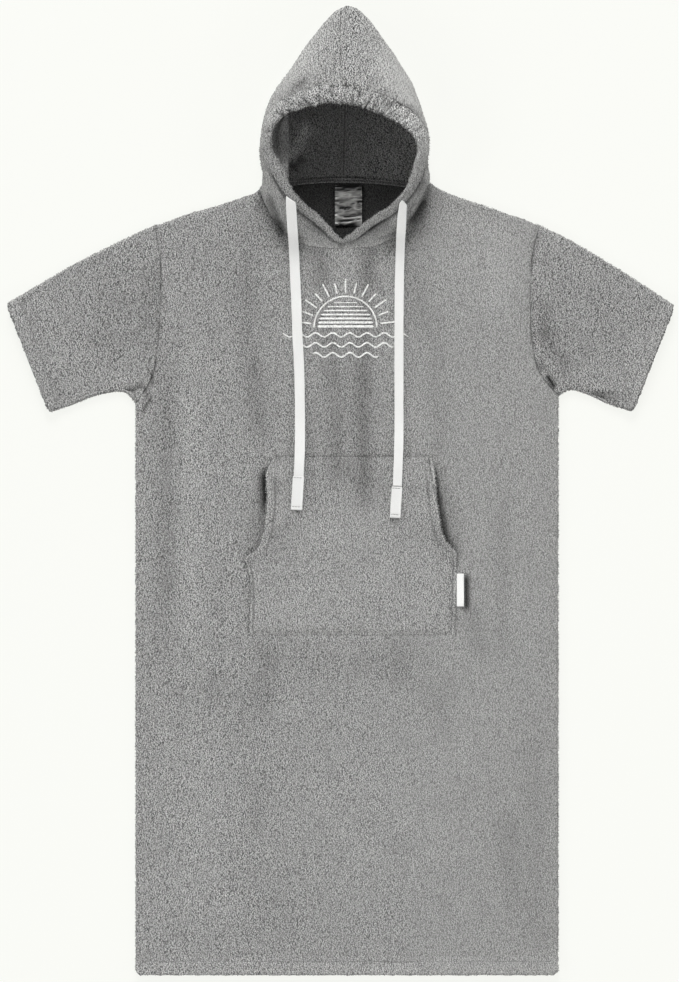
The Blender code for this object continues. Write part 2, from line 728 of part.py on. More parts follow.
def build_pocket(front):
    """A kangaroo pocket: sewn down at its top, foot and short sides, open at its curved mouths."""
    rows, columns = POCKET_GRID
    left = evenly(smooth_path(POCKET_LEFT, 6), rows)
    right = evenly(smooth_path(POCKET_RIGHT, 6), rows)
    bottom = np.linspace(left[0], right[0], columns)
    top = np.linspace(left[-1], right[-1], columns)
    plan = patch(bottom, top, left, right, np.linspace(0, 1, columns), np.linspace(0, 1, rows))
    open_part = eased(plan[..., 1], *POCKET_OPENS) * (1 - eased(plan[..., 1], *POCKET_CLOSES))
    aside = np.minimum(plan[..., 0] - left[:, None, 0], right[:, None, 0] - plan[..., 0])
    gape = POCKET_GAPE * open_part * (1 - eased(aside, 0.0, POCKET_GAPE_WIDTH))
    under = surface_above(front)(plan) + POCKET_CLEAR + gape
    return add_wall("pocket", with_height(plan, under + CLOTH), with_height(plan, under))


def build_drawstring(side):
    """Flat tape along its route: a curve extruded sideways, with a rounded edge."""
    curve = bpy.data.curves.new("drawstring_" + side, "CURVE")
    curve.dimensions = "3D"
    curve.twist_mode = "Z_UP"
    curve.fill_mode = "FULL"
    curve.extrude = TAPE_HALF_WIDTH * MM
    curve.bevel_depth = TAPE_HALF_THICKNESS * MM
    curve.bevel_resolution = 2
    curve.use_fill_caps = True
    route = evenly(smooth_path(STRINGS[side]["route"], 8), 27)
    spline = curve.splines.new("POLY")
    spline.points.add(len(route) - 1)
    for point, place in zip(spline.points, to_world(route)):
        point.co = (*place, 1.0)
        point.tilt = math.pi / 2
    curve.materials.append(cloth_material("drawstring_" + side + "_tape", TAPE_WHITE, 0.8))
    piece = bpy.data.objects.new("drawstring_" + side, curve)
    bpy.context.scene.collection.objects.link(piece)
    return piece


def rounded_slab(start, end, width, low, thickness):
    """Sections of a flat slab with soft edges between two points in plan."""
    start = np.array(start, float)
    end = np.array(end, float)
    ahead = (end - start) / np.linalg.norm(end - start)
    aside = np.array((-ahead[1], ahead[0]))
    outline = np.array([
        (-0.5, 0.25), (-0.44, 0.0), (0.44, 0.0), (0.5, 0.25),
        (0.5, 0.75), (0.44, 1.0), (-0.44, 1.0), (-0.5, 0.75),
    ])
    sections = []
    for share, squeeze in ((0.0, 0.86), (0.04, 1.0), (0.5, 1.0), (0.96, 1.0), (1.0, 0.86)):
        middle = start + (end - start) * share
        plan = middle + aside * (width * squeeze * outline[:, :1])
        height = low + thickness * (0.5 + (outline[:, 1] - 0.5) * squeeze)
        sections.append(with_height(plan, height))
    return np.array(sections)


def build_tip(side, pocket):
    """The doubled, stitched end of a drawstring, resting on the pocket."""
    start, end = STRINGS[side]["tip"]
    line = np.linspace(start, end, 9)
    across = np.array((TIP_WIDTH / 2, 0.0))
    under = surface_above(pocket)(np.stack([line - across, line, line + across]))
    sections = rounded_slab(start, end, TIP_WIDTH, under.max() + GAP, TIP_THICKNESS)
    return add_loft("drawstring_tip_" + side, sections, TAPE_WHITE, 0.8)


def build_label(name, size, low, colour, roughness):
    x0, x1 = size["x"]
    y0, y1 = size["y"]
    middle = (x0 + x1) / 2
    sections = rounded_slab((middle, y0), (middle, y1), x1 - x0, low, size["thickness"])
    return add_loft(name, sections, colour, roughness)


def main():
    for old in list(bpy.data.objects):
        bpy.data.objects.remove(old, do_unlink=True)
    build_back()
    front = build_front()
    for side in SIDES:
        build_sleeve(side)
        build_hood_half(side)
    build_hood_casing()
    pocket = build_pocket(front)
    for side in SIDES:
        build_drawstring(side)
        build_tip(side, pocket)
    build_label("neck_label", NECK_LABEL, CLOTH + GAP, SATIN_WHITE, 0.4)
    x0, x1 = POCKET_LABEL["x"]
    y0, y1 = POCKET_LABEL["y"]
    corners = np.array([[(x0, y0), (x1, y0), (x0, y1), (x1, y1)]])
    low = surface_above(front)(corners).max() + GAP
    build_label("pocket_label", POCKET_LABEL, low, TAPE_WHITE, 0.6)


main()
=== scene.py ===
import math

import bpy
import numpy as np
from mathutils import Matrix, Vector


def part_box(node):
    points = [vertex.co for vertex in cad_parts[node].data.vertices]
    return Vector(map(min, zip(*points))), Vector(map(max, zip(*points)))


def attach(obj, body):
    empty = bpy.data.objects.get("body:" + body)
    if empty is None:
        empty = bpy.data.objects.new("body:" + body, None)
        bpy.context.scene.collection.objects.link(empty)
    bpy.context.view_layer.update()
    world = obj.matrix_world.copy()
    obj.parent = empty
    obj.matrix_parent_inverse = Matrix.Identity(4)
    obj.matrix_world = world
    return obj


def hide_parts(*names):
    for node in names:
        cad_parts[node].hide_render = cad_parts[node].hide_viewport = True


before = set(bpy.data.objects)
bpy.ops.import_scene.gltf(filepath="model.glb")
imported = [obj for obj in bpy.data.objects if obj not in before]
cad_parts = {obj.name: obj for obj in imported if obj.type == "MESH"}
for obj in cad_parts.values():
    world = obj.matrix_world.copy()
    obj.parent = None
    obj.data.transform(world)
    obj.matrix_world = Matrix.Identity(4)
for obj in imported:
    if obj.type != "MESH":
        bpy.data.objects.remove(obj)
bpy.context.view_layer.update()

# Hooded bath poncho of grey terry, laid flat with its hood propped open. Lengths are in
# millimetres: x from the centre line, y up from the hem, z up from the surface below.
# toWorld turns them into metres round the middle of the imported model.
shift = np.array((9.1, -678.6, 0.0))


def toWorld(points):
    # (point + shift) / 1000
    return (np.asarray(points, float) + shift) * 0.001


# Camera, light and floor

studio = {
    "cameraHeight": 24.0,  # m, far enough that the hood's top isn't enlarged
    "viewCentre": (-0.0014, -0.0010),  # m
    "viewHeight": 1.3748,  # m of the floor from the frame's foot to its top
    "sensor": 36.0,  # mm
    "lightDistance": 16.0,  # m
    "keyAzimuth": 92.0,  # degrees from +X
    "keyElevation": 26.0,
    "keySize": 6.0,  # m
    "keyPower": 2910.0,  # W
    "fillElevation": 24.0,
    "fillSize": 6.0,
    "fillPower": 427.0,  # W
    "fillCount": 8,  # all round
    "leftShare": 1.5,  # how much stronger the fills from the left are
    "footShare": 3.0,  # and those from below the hem
    "sideShare": 2.7,  # and those from both sides
    "skyGlow": 0.03,
    "floorHalf": 9.0,  # m
    "floorDrop": 0.0005,  # m below the cloth
    "floorPigment": (0.09, 0.09, 0.088, 1.0),
    "floorColour": "#FBFCF7",
    "floorGlow": 0.885,
}


def hexColour(code):
    # sRGB to linear: a straight part near black, then a power of 2.4
    parts = [int(code[i:i + 2], 16) / 255 for i in (1, 3, 5)]
    return [p / 12.92 if p <= 0.04045 else ((p + 0.055) / 1.055) ** 2.4 for p in parts] + [1.0]


def addNode(material, kind, settings=None, links=None):
    # a shader node with its settings, by socket name or number or by property, and its links,
    # each from an output or from a node's first output
    node = material.node_tree.nodes.new("ShaderNode" + kind)
    for key, value in (settings or {}).items():
        if isinstance(key, int) or key in node.inputs:
            node.inputs[key].default_value = value
        else:
            setattr(node, key, value)
    for key, source in (links or {}).items():
        source = source.outputs[0] if hasattr(source, "outputs") else source
        material.node_tree.links.new(source, node.inputs[key])
    return node


def newMaterial(name):
    # an empty node tree
    material = bpy.data.materials.new(name)
    material.use_nodes = True
    material.node_tree.nodes.clear()
    return material


def finishMaterial(material, shader):
    # the shader to the surface output
    addNode(material, "OutputMaterial", links={"Surface": shader})
    return material


def lookAt(thing, target):
    # its -Z axis turned to the target
    away = thing.location - Vector(target)
    thing.rotation_euler = away.to_track_quat("Z", "Y").to_euler()


def addStudio():
    # camera straight above, one key light, a ring of fills and a pale floor
    scene = bpy.context.scene
    scene.view_settings.view_transform = "Standard"
    camera = bpy.data.objects.new("camera", bpy.data.cameras.new("camera"))
    camera.location = (*studio["viewCentre"], studio["cameraHeight"])
    camera.data.sensor_fit = "VERTICAL"
    camera.data.sensor_height = studio["sensor"]
    camera.data.sensor_width = studio["sensor"]
    camera.data.lens = studio["sensor"] * studio["cameraHeight"] / studio["viewHeight"]
    camera.data.clip_end = 100.0
    scene.collection.objects.link(camera)
    scene.camera = camera

    spots = [("key", studio["keyAzimuth"], studio["keyElevation"], studio["keySize"], studio["keyPower"])]
    # a ring of fills, the first half a step past the key; each share is raised to the power of
    # how far its lamp stands to that side, from -0.5 to 0.5
    for k in range(studio["fillCount"]):
        azimuth = studio["keyAzimuth"] + 360.0 * (k + 0.5) / studio["fillCount"]
        right, head = math.cos(math.radians(azimuth)), math.sin(math.radians(azimuth))
        power = studio["fillPower"] * studio["leftShare"] ** (-0.5 * right)
        power *= studio["footShare"] ** (-0.5 * head) * studio["sideShare"] ** (abs(right) - 0.6)
        spots.append((f"fill_{k}", azimuth, studio["fillElevation"], studio["fillSize"], power))
    for name, azimuth, elevation, size, power in spots:
        light = bpy.data.lights.new(name, "AREA")
        light.shape = "DISK"
        light.size = size
        light.energy = power
        lamp = bpy.data.objects.new(name, light)
        a, e = math.radians(azimuth), math.radians(elevation)
        lamp.location = Vector((math.cos(a) * math.cos(e), math.sin(a) * math.cos(e), math.sin(e)))
        lamp.location *= studio["lightDistance"]
        lookAt(lamp, (0.0, 0.0, 0.0))
        lamp.visible_camera = False
        scene.collection.objects.link(lamp)

    world = bpy.data.worlds.new("studio")
    world.use_nodes = True
    world.node_tree.nodes["Background"].inputs["Color"].default_value = (1.0, 1.0, 1.0, 1.0)
    world.node_tree.nodes["Background"].inputs["Strength"].default_value = studio["skyGlow"]
    scene.world = world

    # the floor glows a little itself, so that the cloth's own shadow on it stays pale
    paper = newMaterial("seamless paper, matt")
    shader = addNode(paper, "BsdfPrincipled", {
        "Base Color": studio["floorPigment"],
        "Roughness": 0.9,
        "Specular IOR Level": 0.1,
        "Emission Color": hexColour(studio["floorColour"]),
        "Emission Strength": studio["floorGlow"],
    })
    finishMaterial(paper, shader)
    half = studio["floorHalf"]
    mesh = bpy.data.meshes.new("floor")
    corners = [(-half, -half), (half, -half), (half, half), (-half, half)]
    mesh.from_pydata([(x, y, -studio["floorDrop"]) for x, y in corners], [], [(0, 1, 2, 3)])
    mesh.materials.append(paper)
    floor = bpy.data.objects.new("floor", mesh)
    scene.collection.objects.link(floor)


addStudio()
print("studio done")

# Curves, noise and meshes


def eased(value, low, high):
    # 0 below low, 1 above high, 3 s^2 - 2 s^3 between them
    s = np.clip((np.asarray(value, float) - low) / (high - low), 0.0, 1.0)
    return s * s * (3.0 - 2.0 * s)


def faded(value, full, end):
    # 1 below full, 0 above end
    return 1.0 - eased(value, full, end)


def between(value, rise, full, fall, end):
    # eased up from rise to full and down again from fall to end
    return eased(value, rise, full) * faded(value, fall, end)


def bell(value, middle, width):
    # exp(-((value - middle) / width)^2)
    return np.exp(-((value - middle) / width) ** 2)


def shares(count):
    # that many even steps from 0 to 1
    return np.linspace(0.0, 1.0, count)


def together(*parts):
    # arrays of the same shape as the last axis of one
    return np.stack(parts, axis=-1)


def unit(vectors):
    # each vector over its own length
    return vectors / (np.linalg.norm(vectors, axis=-1, keepdims=True) + 1e-12)


def hermite(t, start, end, leave, arrive):
    # cubic between start and end with the given slopes
    return (
        start * (2 * t**3 - 3 * t**2 + 1) + leave * (t**3 - 2 * t**2 + t)
        + end * (3 * t**2 - 2 * t**3) + arrive * (t**3 - t**2)
    )


def lengthsAlong(points):
    # each point's distance from the first one along its line
    steps = np.linalg.norm(np.diff(points, axis=-2), axis=-1)
    return np.concatenate([np.zeros(steps.shape[:-1] + (1,)), np.cumsum(steps, axis=-1)], axis=-1)


def tangents(slopes, steps):
    # at each point the mean of the two slopes beside it, each weighted by the other's step
    inner = (slopes[:-1] * steps[1:] + slopes[1:] * steps[:-1]) / (steps[1:] + steps[:-1])
    return np.concatenate([slopes[:1], inner, slopes[-1:]])


def smoothPath(points, samples):
    # cubic pieces through the points
    points = np.asarray(points, float)
    steps = np.linalg.norm(np.diff(points, axis=0), axis=-1, keepdims=True) + 1e-9
    slopes = tangents(np.diff(points, axis=0) / steps, steps)
    t = shares(samples + 1)[:-1].reshape((1, samples) + (1,) * (points.ndim - 1))
    leave = (slopes[:-1] * steps)[:, None]
    arrive = (slopes[1:] * steps)[:, None]
    curve = hermite(t, points[:-1, None], points[1:, None], leave, arrive)
    return np.concatenate([curve.reshape((-1,) + points.shape[1:]), points[-1:]])


def evenly(points, count):
    # count points at even distances along a polyline
    points = np.asarray(points, float)
    along = lengthsAlong(points)
    wanted = np.linspace(0.0, along[-1], count)
    return np.stack([np.interp(wanted, along, points[:, k]) for k in range(points.shape[1])], axis=1)


def tableValue(at, keys, values):
    # the same cubic pieces through a table's rows
    keys = np.asarray(keys, float)
    values = np.asarray(values, float)
    steps = np.diff(keys)
    slopes = tangents(np.diff(values) / steps, steps)
    i = np.clip(np.searchsorted(keys, at, side="right") - 1, 0, len(steps) - 1)
    t = (at - keys[i]) / steps[i]
    return hermite(t, values[i], values[i + 1], slopes[i] * steps[i], slopes[i + 1] * steps[i])


def patch(bottom, top, left, right, across, up):
    # blend of bottom and top plus blend of left and right, less the blend of the four corners
    u = np.asarray(across, float)[None, :, None]
    v = np.asarray(up, float)[:, None, None]
    corners = (1 - v) * ((1 - u) * bottom[0] + u * bottom[-1]) + v * ((1 - u) * top[0] + u * top[-1])
    return (1 - v) * bottom[None] + v * top[None] + (1 - u) * left[:, None] + u * right[:, None] - corners


def softNoise(points, size, seed):
    # random values between -1 and 1 at the corners of cubes of that size, blended inside them
    cell = np.floor(points / size)
    part = points / size - cell
    part = part * part * (3.0 - 2.0 * part)
    total = np.zeros(points.shape[:-1])
    for corner in np.ndindex(2, 2, 2):
        corner = np.array(corner)
        mixed = np.sin((cell + corner) @ np.array((12.9898, 78.233, 37.719)) + 4.13 * seed) * 43758.5453
        weight = np.prod(np.where(corner == 1, part, 1.0 - part), axis=-1)
        total += weight * (mixed - np.floor(mixed))
    return 2.0 * total - 1.0


def layered(points, *layers):
    # sum of soft noises, each with its amount, its size in mm and its seed
    return sum(amount * softNoise(points, size, seed) for amount, size, seed in layers)


def ridges(x, y, rows, before, into):
    # sum of ridges along lines from (x, y) to (x, y): rise * exp(-distance^2 / (2 width^2)), faded
    # at both ends from before them, in mm and shares of the length, to a share of it inside
    height = np.zeros_like(x)
    for x0, y0, x1, y1, width, rise in rows:
        length = math.hypot(x1 - x0, y1 - y0)
        along = ((x - x0) * (x1 - x0) + (y - y0) * (y1 - y0)) / length
        aside = ((x - x0) * (y1 - y0) - (y - y0) * (x1 - x0)) / length
        start = -before[0] - before[1] * length
        fade = eased(along, start, into * length) * eased(length - along, start, into * length)
        height += rise * fade * np.exp(-0.5 * (aside / width) ** 2)
    return height


def foldHeight(x, y, folds):
    # broad folds, or broad bands of painted shade, whose ends fade out past the line
    return ridges(x, y, folds, (10.0, 0.1), 0.25)


def creaseHeight(x, y, creases):
    # narrow folds, or narrow lines of painted shade, whose ends fade out inside the line
    return ridges(x, y, creases, (0.0, 0.0), 0.2)


def edgeRuns(grid):
    # each grid point's distance along its column to the nearer end, and the same along its row
    up, across = lengthsAlong(grid.swapaxes(0, 1)).T, lengthsAlong(grid)
    return np.minimum(up, up[-1] - up), np.minimum(across, across[:, -1:] - across)


def flatPlace(x, y):
    # points at height 0
    return together(x, y, np.zeros_like(x))


def onWall(source, outer, inner=None, lip=None):
    # a grid's values for each point of its wall, with other ones for its inner face and for
    # the half round along its edges
    values = outer.ravel()[source]
    if inner is not None:
        values[outer.size:2 * outer.size] = inner.ravel()
    if lip is not None:
        values[2 * outer.size:] = lip.ravel()[source[2 * outer.size:]]
    return values


def withHeight(plan, height):
    # a grid in plan with its heights added
    return np.concatenate([plan, height[..., None]], axis=-1)


def gridQuads(rows, columns, wrap):
    # quads of a grid, counter-clockwise with columns to the right and rows upwards
    i, j = np.meshgrid(np.arange(rows - 1), np.arange(columns if wrap else columns - 1), indexing="ij")
    k = (j + 1) % columns
    low, high = i * columns, (i + 1) * columns
    return together(low + j, low + k, high + k, high + j).reshape(-1, 4)


def openEdges(rows, columns, wrap):
    # the grid's open edges, as closed loops of point numbers
    last = (rows - 1) * columns
    if wrap:
        return [np.arange(columns), np.arange(last + columns - 1, last - 1, -1)]
    return [np.concatenate([
        np.arange(columns),
        np.arange(1, rows) * columns + columns - 1,
        np.arange(last + columns - 2, last - 1, -1),
        np.arange(rows - 2, 0, -1) * columns,
    ])]


def turnedOut(points, quads):
    # reverses the faces of a closed mesh whose signed volume is negative
    a, b, c, d = (points[quads[:, k]] for k in range(4))
    volume = np.sum(a * np.cross(b, c)) + np.sum(a * np.cross(c, d))
    return quads[:, ::-1] if volume < 0 else quads


def surfaceNormal(middle, wrap=False):
    # unit cross product of the steps along the rows and up the columns
    if wrap:
        across = (np.roll(middle, -1, axis=1) - np.roll(middle, 1, axis=1)) / 2
    else:
        across = np.gradient(middle, axis=1)
    return unit(np.cross(across, np.gradient(middle, axis=0)))


def shell(middle, thickness, wrap=False, lipSteps=4, normal=None):
    # closed wall: middle surface plus and minus half the thickness along its normal, with a
    # half round of that radius round each open edge, which stays inside the given outline;
    # the third value is the grid point that each point of the wall comes from
    middle = np.array(middle, float)
    rows, columns = middle.shape[:2]
    normal = surfaceNormal(middle, wrap) if normal is None else normal
    half = np.broadcast_to(np.asarray(thickness, float) / 2, middle.shape[:2])[..., None]
    out = np.zeros_like(middle)
    out[0] += unit(middle[0] - middle[1])
    out[-1] += unit(middle[-1] - middle[-2])
    if not wrap:
        out[:, 0] += unit(middle[:, 0] - middle[:, 1])
        out[:, -1] += unit(middle[:, -1] - middle[:, -2])
    out = unit(out - normal * np.sum(out * normal, axis=-1, keepdims=True))
    edge = np.linalg.norm(out, axis=-1, keepdims=True) > 0.5
    middle = middle - np.where(edge, out * half, 0.0)
    count = rows * columns
    points = [(middle + normal * half).reshape(-1, 3), (middle - normal * half).reshape(-1, 3)]
    quads = gridQuads(rows, columns, wrap)
    faces = [quads, quads[:, ::-1] + count]
    source = [np.arange(count), np.arange(count)]
    size = 2 * count
    base, rise, reach = (grid.reshape(-1, 3) for grid in (middle, normal * half, out * half))
    for loop in openEdges(rows, columns, wrap):
        before = loop
        for angle in np.linspace(0.0, math.pi, lipSteps + 1)[1:]:
            if angle > math.pi - 1e-6:
                ring = loop + count
            else:
                points.append(base[loop] + rise[loop] * math.cos(angle) + reach[loop] * math.sin(angle))
                ring = np.arange(size, size + len(loop))
                source.append(loop)
                size += len(loop)
            faces.append(together(np.roll(before, -1), before, ring, np.roll(ring, -1)))
            before = ring
    points = np.concatenate(points)
    return points, turnedOut(points, np.concatenate(faces)), np.concatenate(source)


def closedTubes(rings):
    # tubes, each of closed rings joined one to the next, with a cap at both its ends
    items, stations, around = rings.shape[:3]
    starts = (np.arange(items) * stations * around)[:, None, None]
    quads = (gridQuads(stations, around, True)[None] + starts).reshape(-1, 4)
    ends = np.array([np.arange(around)[::-1], np.arange(around) + (stations - 1) * around])
    caps = (ends[None] + starts).reshape(-1, around)
    points = rings.reshape(-1, 3)
    whole = turnedOut(points, quads)
    return points, [whole, caps if whole is quads else caps[:, ::-1]]


def sweep(path, side, up, profile, scale=1.0):
    # profile carried along a path: point = path + side * x * scale + up * y * scale, with both
    # ends closed; path may hold many paths of the same length at once
    path, side, up = (np.broadcast_to(a, np.shape(path)) for a in (path, side, up))
    path, side, up = (np.array(a, float).reshape((-1,) + a.shape[-2:]) for a in (path, side, up))
    scale = np.broadcast_to(scale, path.shape[:2])[..., None, None]
    profile = np.asarray(profile, float)
    section = side[:, :, None] * profile[:, :1] + up[:, :, None] * profile[:, 1:]
    return closedTubes(path[:, :, None] + scale * section)


def roundProfile(width, corners):
    # a regular polygon in a circle of that width
    turn = np.linspace(0.0, 2.0 * math.pi, corners + 1)[:-1]
    return 0.5 * width * together(np.cos(turn), np.sin(turn))


def addPiece(name, solid, points, faces, materials, uv=None, inside=None, creaseAndPaintedShade=None, calm=None):
    # a mesh object from whole arrays, in place of a solid if one is named; faces is one array or
    # several, each with its own number of corners; painted shade and calm are values at the points
    faces = faces if isinstance(faces, list) else [faces]
    corners = np.concatenate([face.ravel() for face in faces]).astype(np.int32)
    sizes = np.concatenate([np.full(len(face), face.shape[1]) for face in faces])
    mesh = bpy.data.meshes.new(name)
    mesh.vertices.add(len(points))
    mesh.vertices.foreach_set("co", toWorld(points).astype(np.float32).ravel())
    mesh.loops.add(len(corners))
    mesh.loops.foreach_set("vertex_index", corners)
    mesh.polygons.add(len(sizes))
    mesh.polygons.foreach_set("loop_start", (np.cumsum(sizes) - sizes).astype(np.int32))
    mesh.update(calc_edges=True)
    mesh.shade_smooth()
    for material in materials if isinstance(materials, list) else [materials]:
        mesh.materials.append(material)
    if inside is not None:
        which = np.zeros(len(sizes), np.int32)
        which[inside] = 1
        mesh.polygons.foreach_set("material_index", which)
    if uv is not None:
        layer = mesh.uv_layers.new(name="cloth")
        layer.data.foreach_set("uv", (np.asarray(uv)[corners] * 0.001).astype(np.float32).ravel())
    # the first attribute is painted shade, 1 darkest, and below 0 painted light;
    # calm: 1 where the pile lies smooth, below 0 where its loops stand apart and their painted light and
    # shade shows more
    for label, values in (("creaseAndPaintedShade", creaseAndPaintedShade), ("calm", calm)):
        if values is not None:
            layer = mesh.attributes.new(label, "FLOAT", "POINT")
            layer.data.foreach_set("value", np.asarray(values, np.float32).ravel())
    mesh.validate()
    piece = bpy.data.objects.new(name, mesh)
    bpy.context.scene.collection.objects.link(piece)
    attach(piece, "root")
    if solid:
        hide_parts(solid)
    return piece


# Materials


def paintShade(material, colour, depth, light=1.0):
    # painted shade and light: colour * light * (1 - depth * shade), shade being the value that a piece has
    # at its points
    creaseAndPaintedShade = addNode(material, "Attribute", {"attribute_name": "creaseAndPaintedShade"}).outputs["Fac"]
    factors = {"operation": "MULTIPLY_ADD", 1: -depth * light, 2: light}
    left = addNode(material, "Math", factors, {0: creaseAndPaintedShade})
    return addNode(material, "VectorMath", {"operation": "SCALE"}, {0: colour, "Scale": left})


def twoColours(low, high):
    # settings of a node that mixes them
    return {"data_type": "RGBA", 6: hexColour(low), 7: hexColour(high)}


def finishCloth(material, colour, height, relief, strength, finish):
    # the surface of a cloth: its colour, its height as a bump with the relief in mm, its shader
    bumps = {"Strength": strength, "Distance": relief * 0.001}
    links = {"Base Color": colour, "Normal": addNode(material, "Bump", bumps, {"Height": height})}
    return finishMaterial(material, addNode(material, "BsdfPrincipled", finish, links))


# Terry: cotton cloth woven with loops 2 to 3 mm high on both faces. The loops catch the light
# on their tops and keep dark gaps between them, so it looks speckled, matt and a little furry.
# Scales are counts in a metre.
terryLook = {
    "litLoopTop": "#DADAD8",
    "shadedLoopFoot": "#5F5F5E",
    "loopMean": "#A2A2A0",
    "heather": "#8E8E8D",  # darker fibres in the yarn
    "heatherShare": 0.3,
    "heatherScale": 30.0,
    "loopWidth": 1.4,  # mm
    "loopStretch": 0.8,
    "loopRim": (0.75, 0.1),  # distance from a loop's middle where it starts and where its top is flat
    "swayScale": 260.0,
    "sway": 0.002,  # m that loops stand out of line
    "yarnScale": 1000.0,
    "yarnShare": 1.6,  # how clearly the yarn's twist shows
    "rowScale": 420.0,
    "rowFrequency": 0.6,
    "rowShare": 1.3,  # how clearly the loops stand in rows
    "rowTilt": -38.0,  # degrees, the way the loops lean
    "meanHeight": 1.35,
    "contrast": 0.6,  # height from the mean to the lightest or darkest colour
    "relief": 0.7,  # mm
    "paintedShadeDepth": 0.72,  # share of the colour that full painted shade takes away
    "sheenTint": "#E6E6E4",
}


def terryMaterial(name, look, shade=1.0):
    # one cell of a Voronoi pattern for each loop; shade is the share of the light that gets there, painted
    # into the colour
    material = newMaterial(name)
    place = addNode(material, "TexCoord").outputs["Object"]
    turned = addNode(material, "Mapping", {
        "Rotation": (0.0, 0.0, math.radians(look["rowTilt"])),
        "Scale": (1.0, look["loopStretch"], 1.0),
    }, {"Vector": place})
    sway = addNode(material, "TexNoise", {"Scale": look["swayScale"], "Detail": 2.0}, {"Vector": turned})
    swayed = addNode(material, "VectorMath", {"operation": "MULTIPLY_ADD", 1: [look["sway"]] * 3}, {
        0: sway.outputs["Color"],
        2: turned,
    })
    cells = addNode(material, "TexVoronoi", {"Scale": 1000.0 / look["loopWidth"]}, {"Vector": swayed})
    rim, flat = look["loopRim"]
    height = addNode(material, "MapRange", {"From Min": rim, "From Max": flat}, {
        "Value": cells.outputs["Distance"],
    })
    yarn = addNode(material, "TexNoise", {
        "Scale": look["yarnScale"],
        "Detail": 3.0,
        "Roughness": 0.75,
    }, {"Vector": turned})
    # upright rows of loops, 4 mm apart and each only a few loops long
    rows = addNode(material, "TexGabor", {
        "Scale": look["rowScale"],
        "Frequency": look["rowFrequency"],
        4: 0.0,  # its orientation
    }, {"Vector": place})
    # height: rounded loop tops, roughened by the twist of the yarn, in rows
    for pattern, share in ((yarn, look["yarnShare"]), (rows, look["rowShare"])):
        height = addNode(material, "Math", {"operation": "MULTIPLY_ADD", 1: share}, {
            0: pattern,
            2: height,
        })
    middle = look["meanHeight"] + 0.5 * look["rowShare"]
    spread = addNode(material, "MapRange", {
        "From Min": middle - look["contrast"],
        "From Max": middle + look["contrast"],
    }, {"Value": height})
    # painted light and shade of the loops: the light colour on their tops, the dark one in the gaps between
    # them
    sharp = addNode(material, "Mix", twoColours(look["shadedLoopFoot"], look["litLoopTop"]), {0: spread})
    # smooth pile shows its mean colour; a calm below 0 takes the colours further apart
    calm = addNode(material, "Attribute", {"attribute_name": "calm"})
    base = addNode(material, "Mix", {
        "data_type": "RGBA",
        "clamp_factor": False,
        7: hexColour(look["loopMean"]),
    }, {0: calm.outputs["Fac"], 6: sharp.outputs[2]})
    patches = addNode(material, "TexNoise", {
        "Scale": look["heatherScale"],
        "Detail": 4.0,
        "Roughness": 0.65,
    }, {"Vector": place})
    fleck = addNode(material, "MapRange", {
        "From Min": 0.42,
        "From Max": 0.75,
        "To Max": look["heatherShare"],
    }, {"Value": patches})
    colour = addNode(material, "Mix", {"data_type": "RGBA", 7: hexColour(look["heather"])}, {
        0: fleck,
        6: base.outputs[2],
    })
    shaded = paintShade(material, colour.outputs[2], look["paintedShadeDepth"], shade)
    return finishCloth(material, shaded, height, look["relief"], 1.0, {
        "Roughness": 0.96,
        "IOR": 1.45,
        "Specular IOR Level": 0.15,
        "Sheen Weight": 0.12,
        "Sheen Roughness": 0.6,
        "Sheen Tint": hexColour(look["sheenTint"]),
    })


# Cotton tape: flat herringbone weave, bleached. White and matt, with fine slanting ribs.
tapeLook = {
    "low": "#DADAD8",
    "high": "#EFEFED",
    "turn": 2.1,  # mm between the places where the ribs turn back
    "rib": 1.1,  # mm, wider than real ones, so that they show
    "ribShare": 0.5,
    "fibreScale": 1500.0,  # in a metre
    "paintedShadeDepth": 0.24,
}


def tapeMaterial(look):
    # height: sine of the distance along the tape plus the distance from the nearest turn
    material = newMaterial("cotton tape, woven herringbone")
    uv = addNode(material, "UVMap", {"uv_map": "cloth"})
    parts = addNode(material, "SeparateXYZ", links={0: uv})
    across = addNode(material, "Math", {"operation": "PINGPONG", 1: look["turn"] * 0.001}, {0: parts})
    slant = addNode(material, "Math", {"operation": "ADD"}, {0: across, 1: parts.outputs[1]})
    ribs = addNode(material, "Math", {
        "operation": "MULTIPLY",
        1: 2 * math.pi / (look["rib"] * 0.001),
    }, {0: slant})
    wave = addNode(material, "Math", {"operation": "SINE"}, {0: ribs})
    fibre = addNode(material, "TexNoise", {"Scale": look["fibreScale"], "Detail": 2.0}, {
        "Vector": addNode(material, "TexCoord").outputs["Object"],
    })
    height = addNode(material, "Math", {"operation": "MULTIPLY_ADD", 1: look["ribShare"]}, {
        0: wave,
        2: fibre,
    })
    tone = addNode(material, "MapRange", {"From Min": -0.2, "From Max": 1.2}, {"Value": height})
    colour = addNode(material, "Mix", twoColours(look["low"], look["high"]), {0: tone})
    shaded = paintShade(material, colour.outputs[2], look["paintedShadeDepth"])
    return finishCloth(material, shaded, height, 0.25, 0.5, {
        "Roughness": 0.75,
        "Specular IOR Level": 0.3,
        "Sheen Weight": 0.1,
    })


# Polyester satin: long floats on one face, so it shines in streaks where it is creased.
satinLook = {
    "low": "#80807E",
    "high": "#AAAAA7",
    "floats": (500.0, 3500.0, 1.0),  # in a metre, along them and across
    "paintedShadeDepth": 0.9,
}


def satinMaterial(look):
    # streaks of noise, much longer along the floats than across them: painted sheen, lighter and darker
    # colour along the streaks
    material = newMaterial("polyester satin, woven")
    uv = addNode(material, "UVMap", {"uv_map": "cloth"})
    place = addNode(material, "Mapping", {"Scale": look["floats"]}, {"Vector": uv})
    floats = addNode(material, "TexNoise", {"Scale": 1.0, "Detail": 3.0}, {"Vector": place})
    colour = addNode(material, "Mix", twoColours(look["low"], look["high"]), {0: floats})
    shaded = paintShade(material, colour.outputs[2], look["paintedShadeDepth"])
    return finishCloth(material, shaded, floats, 0.2, 0.4, {
        "Roughness": 0.34,
        "Specular IOR Level": 0.7,
        "Sheen Weight": 0.2,
    })


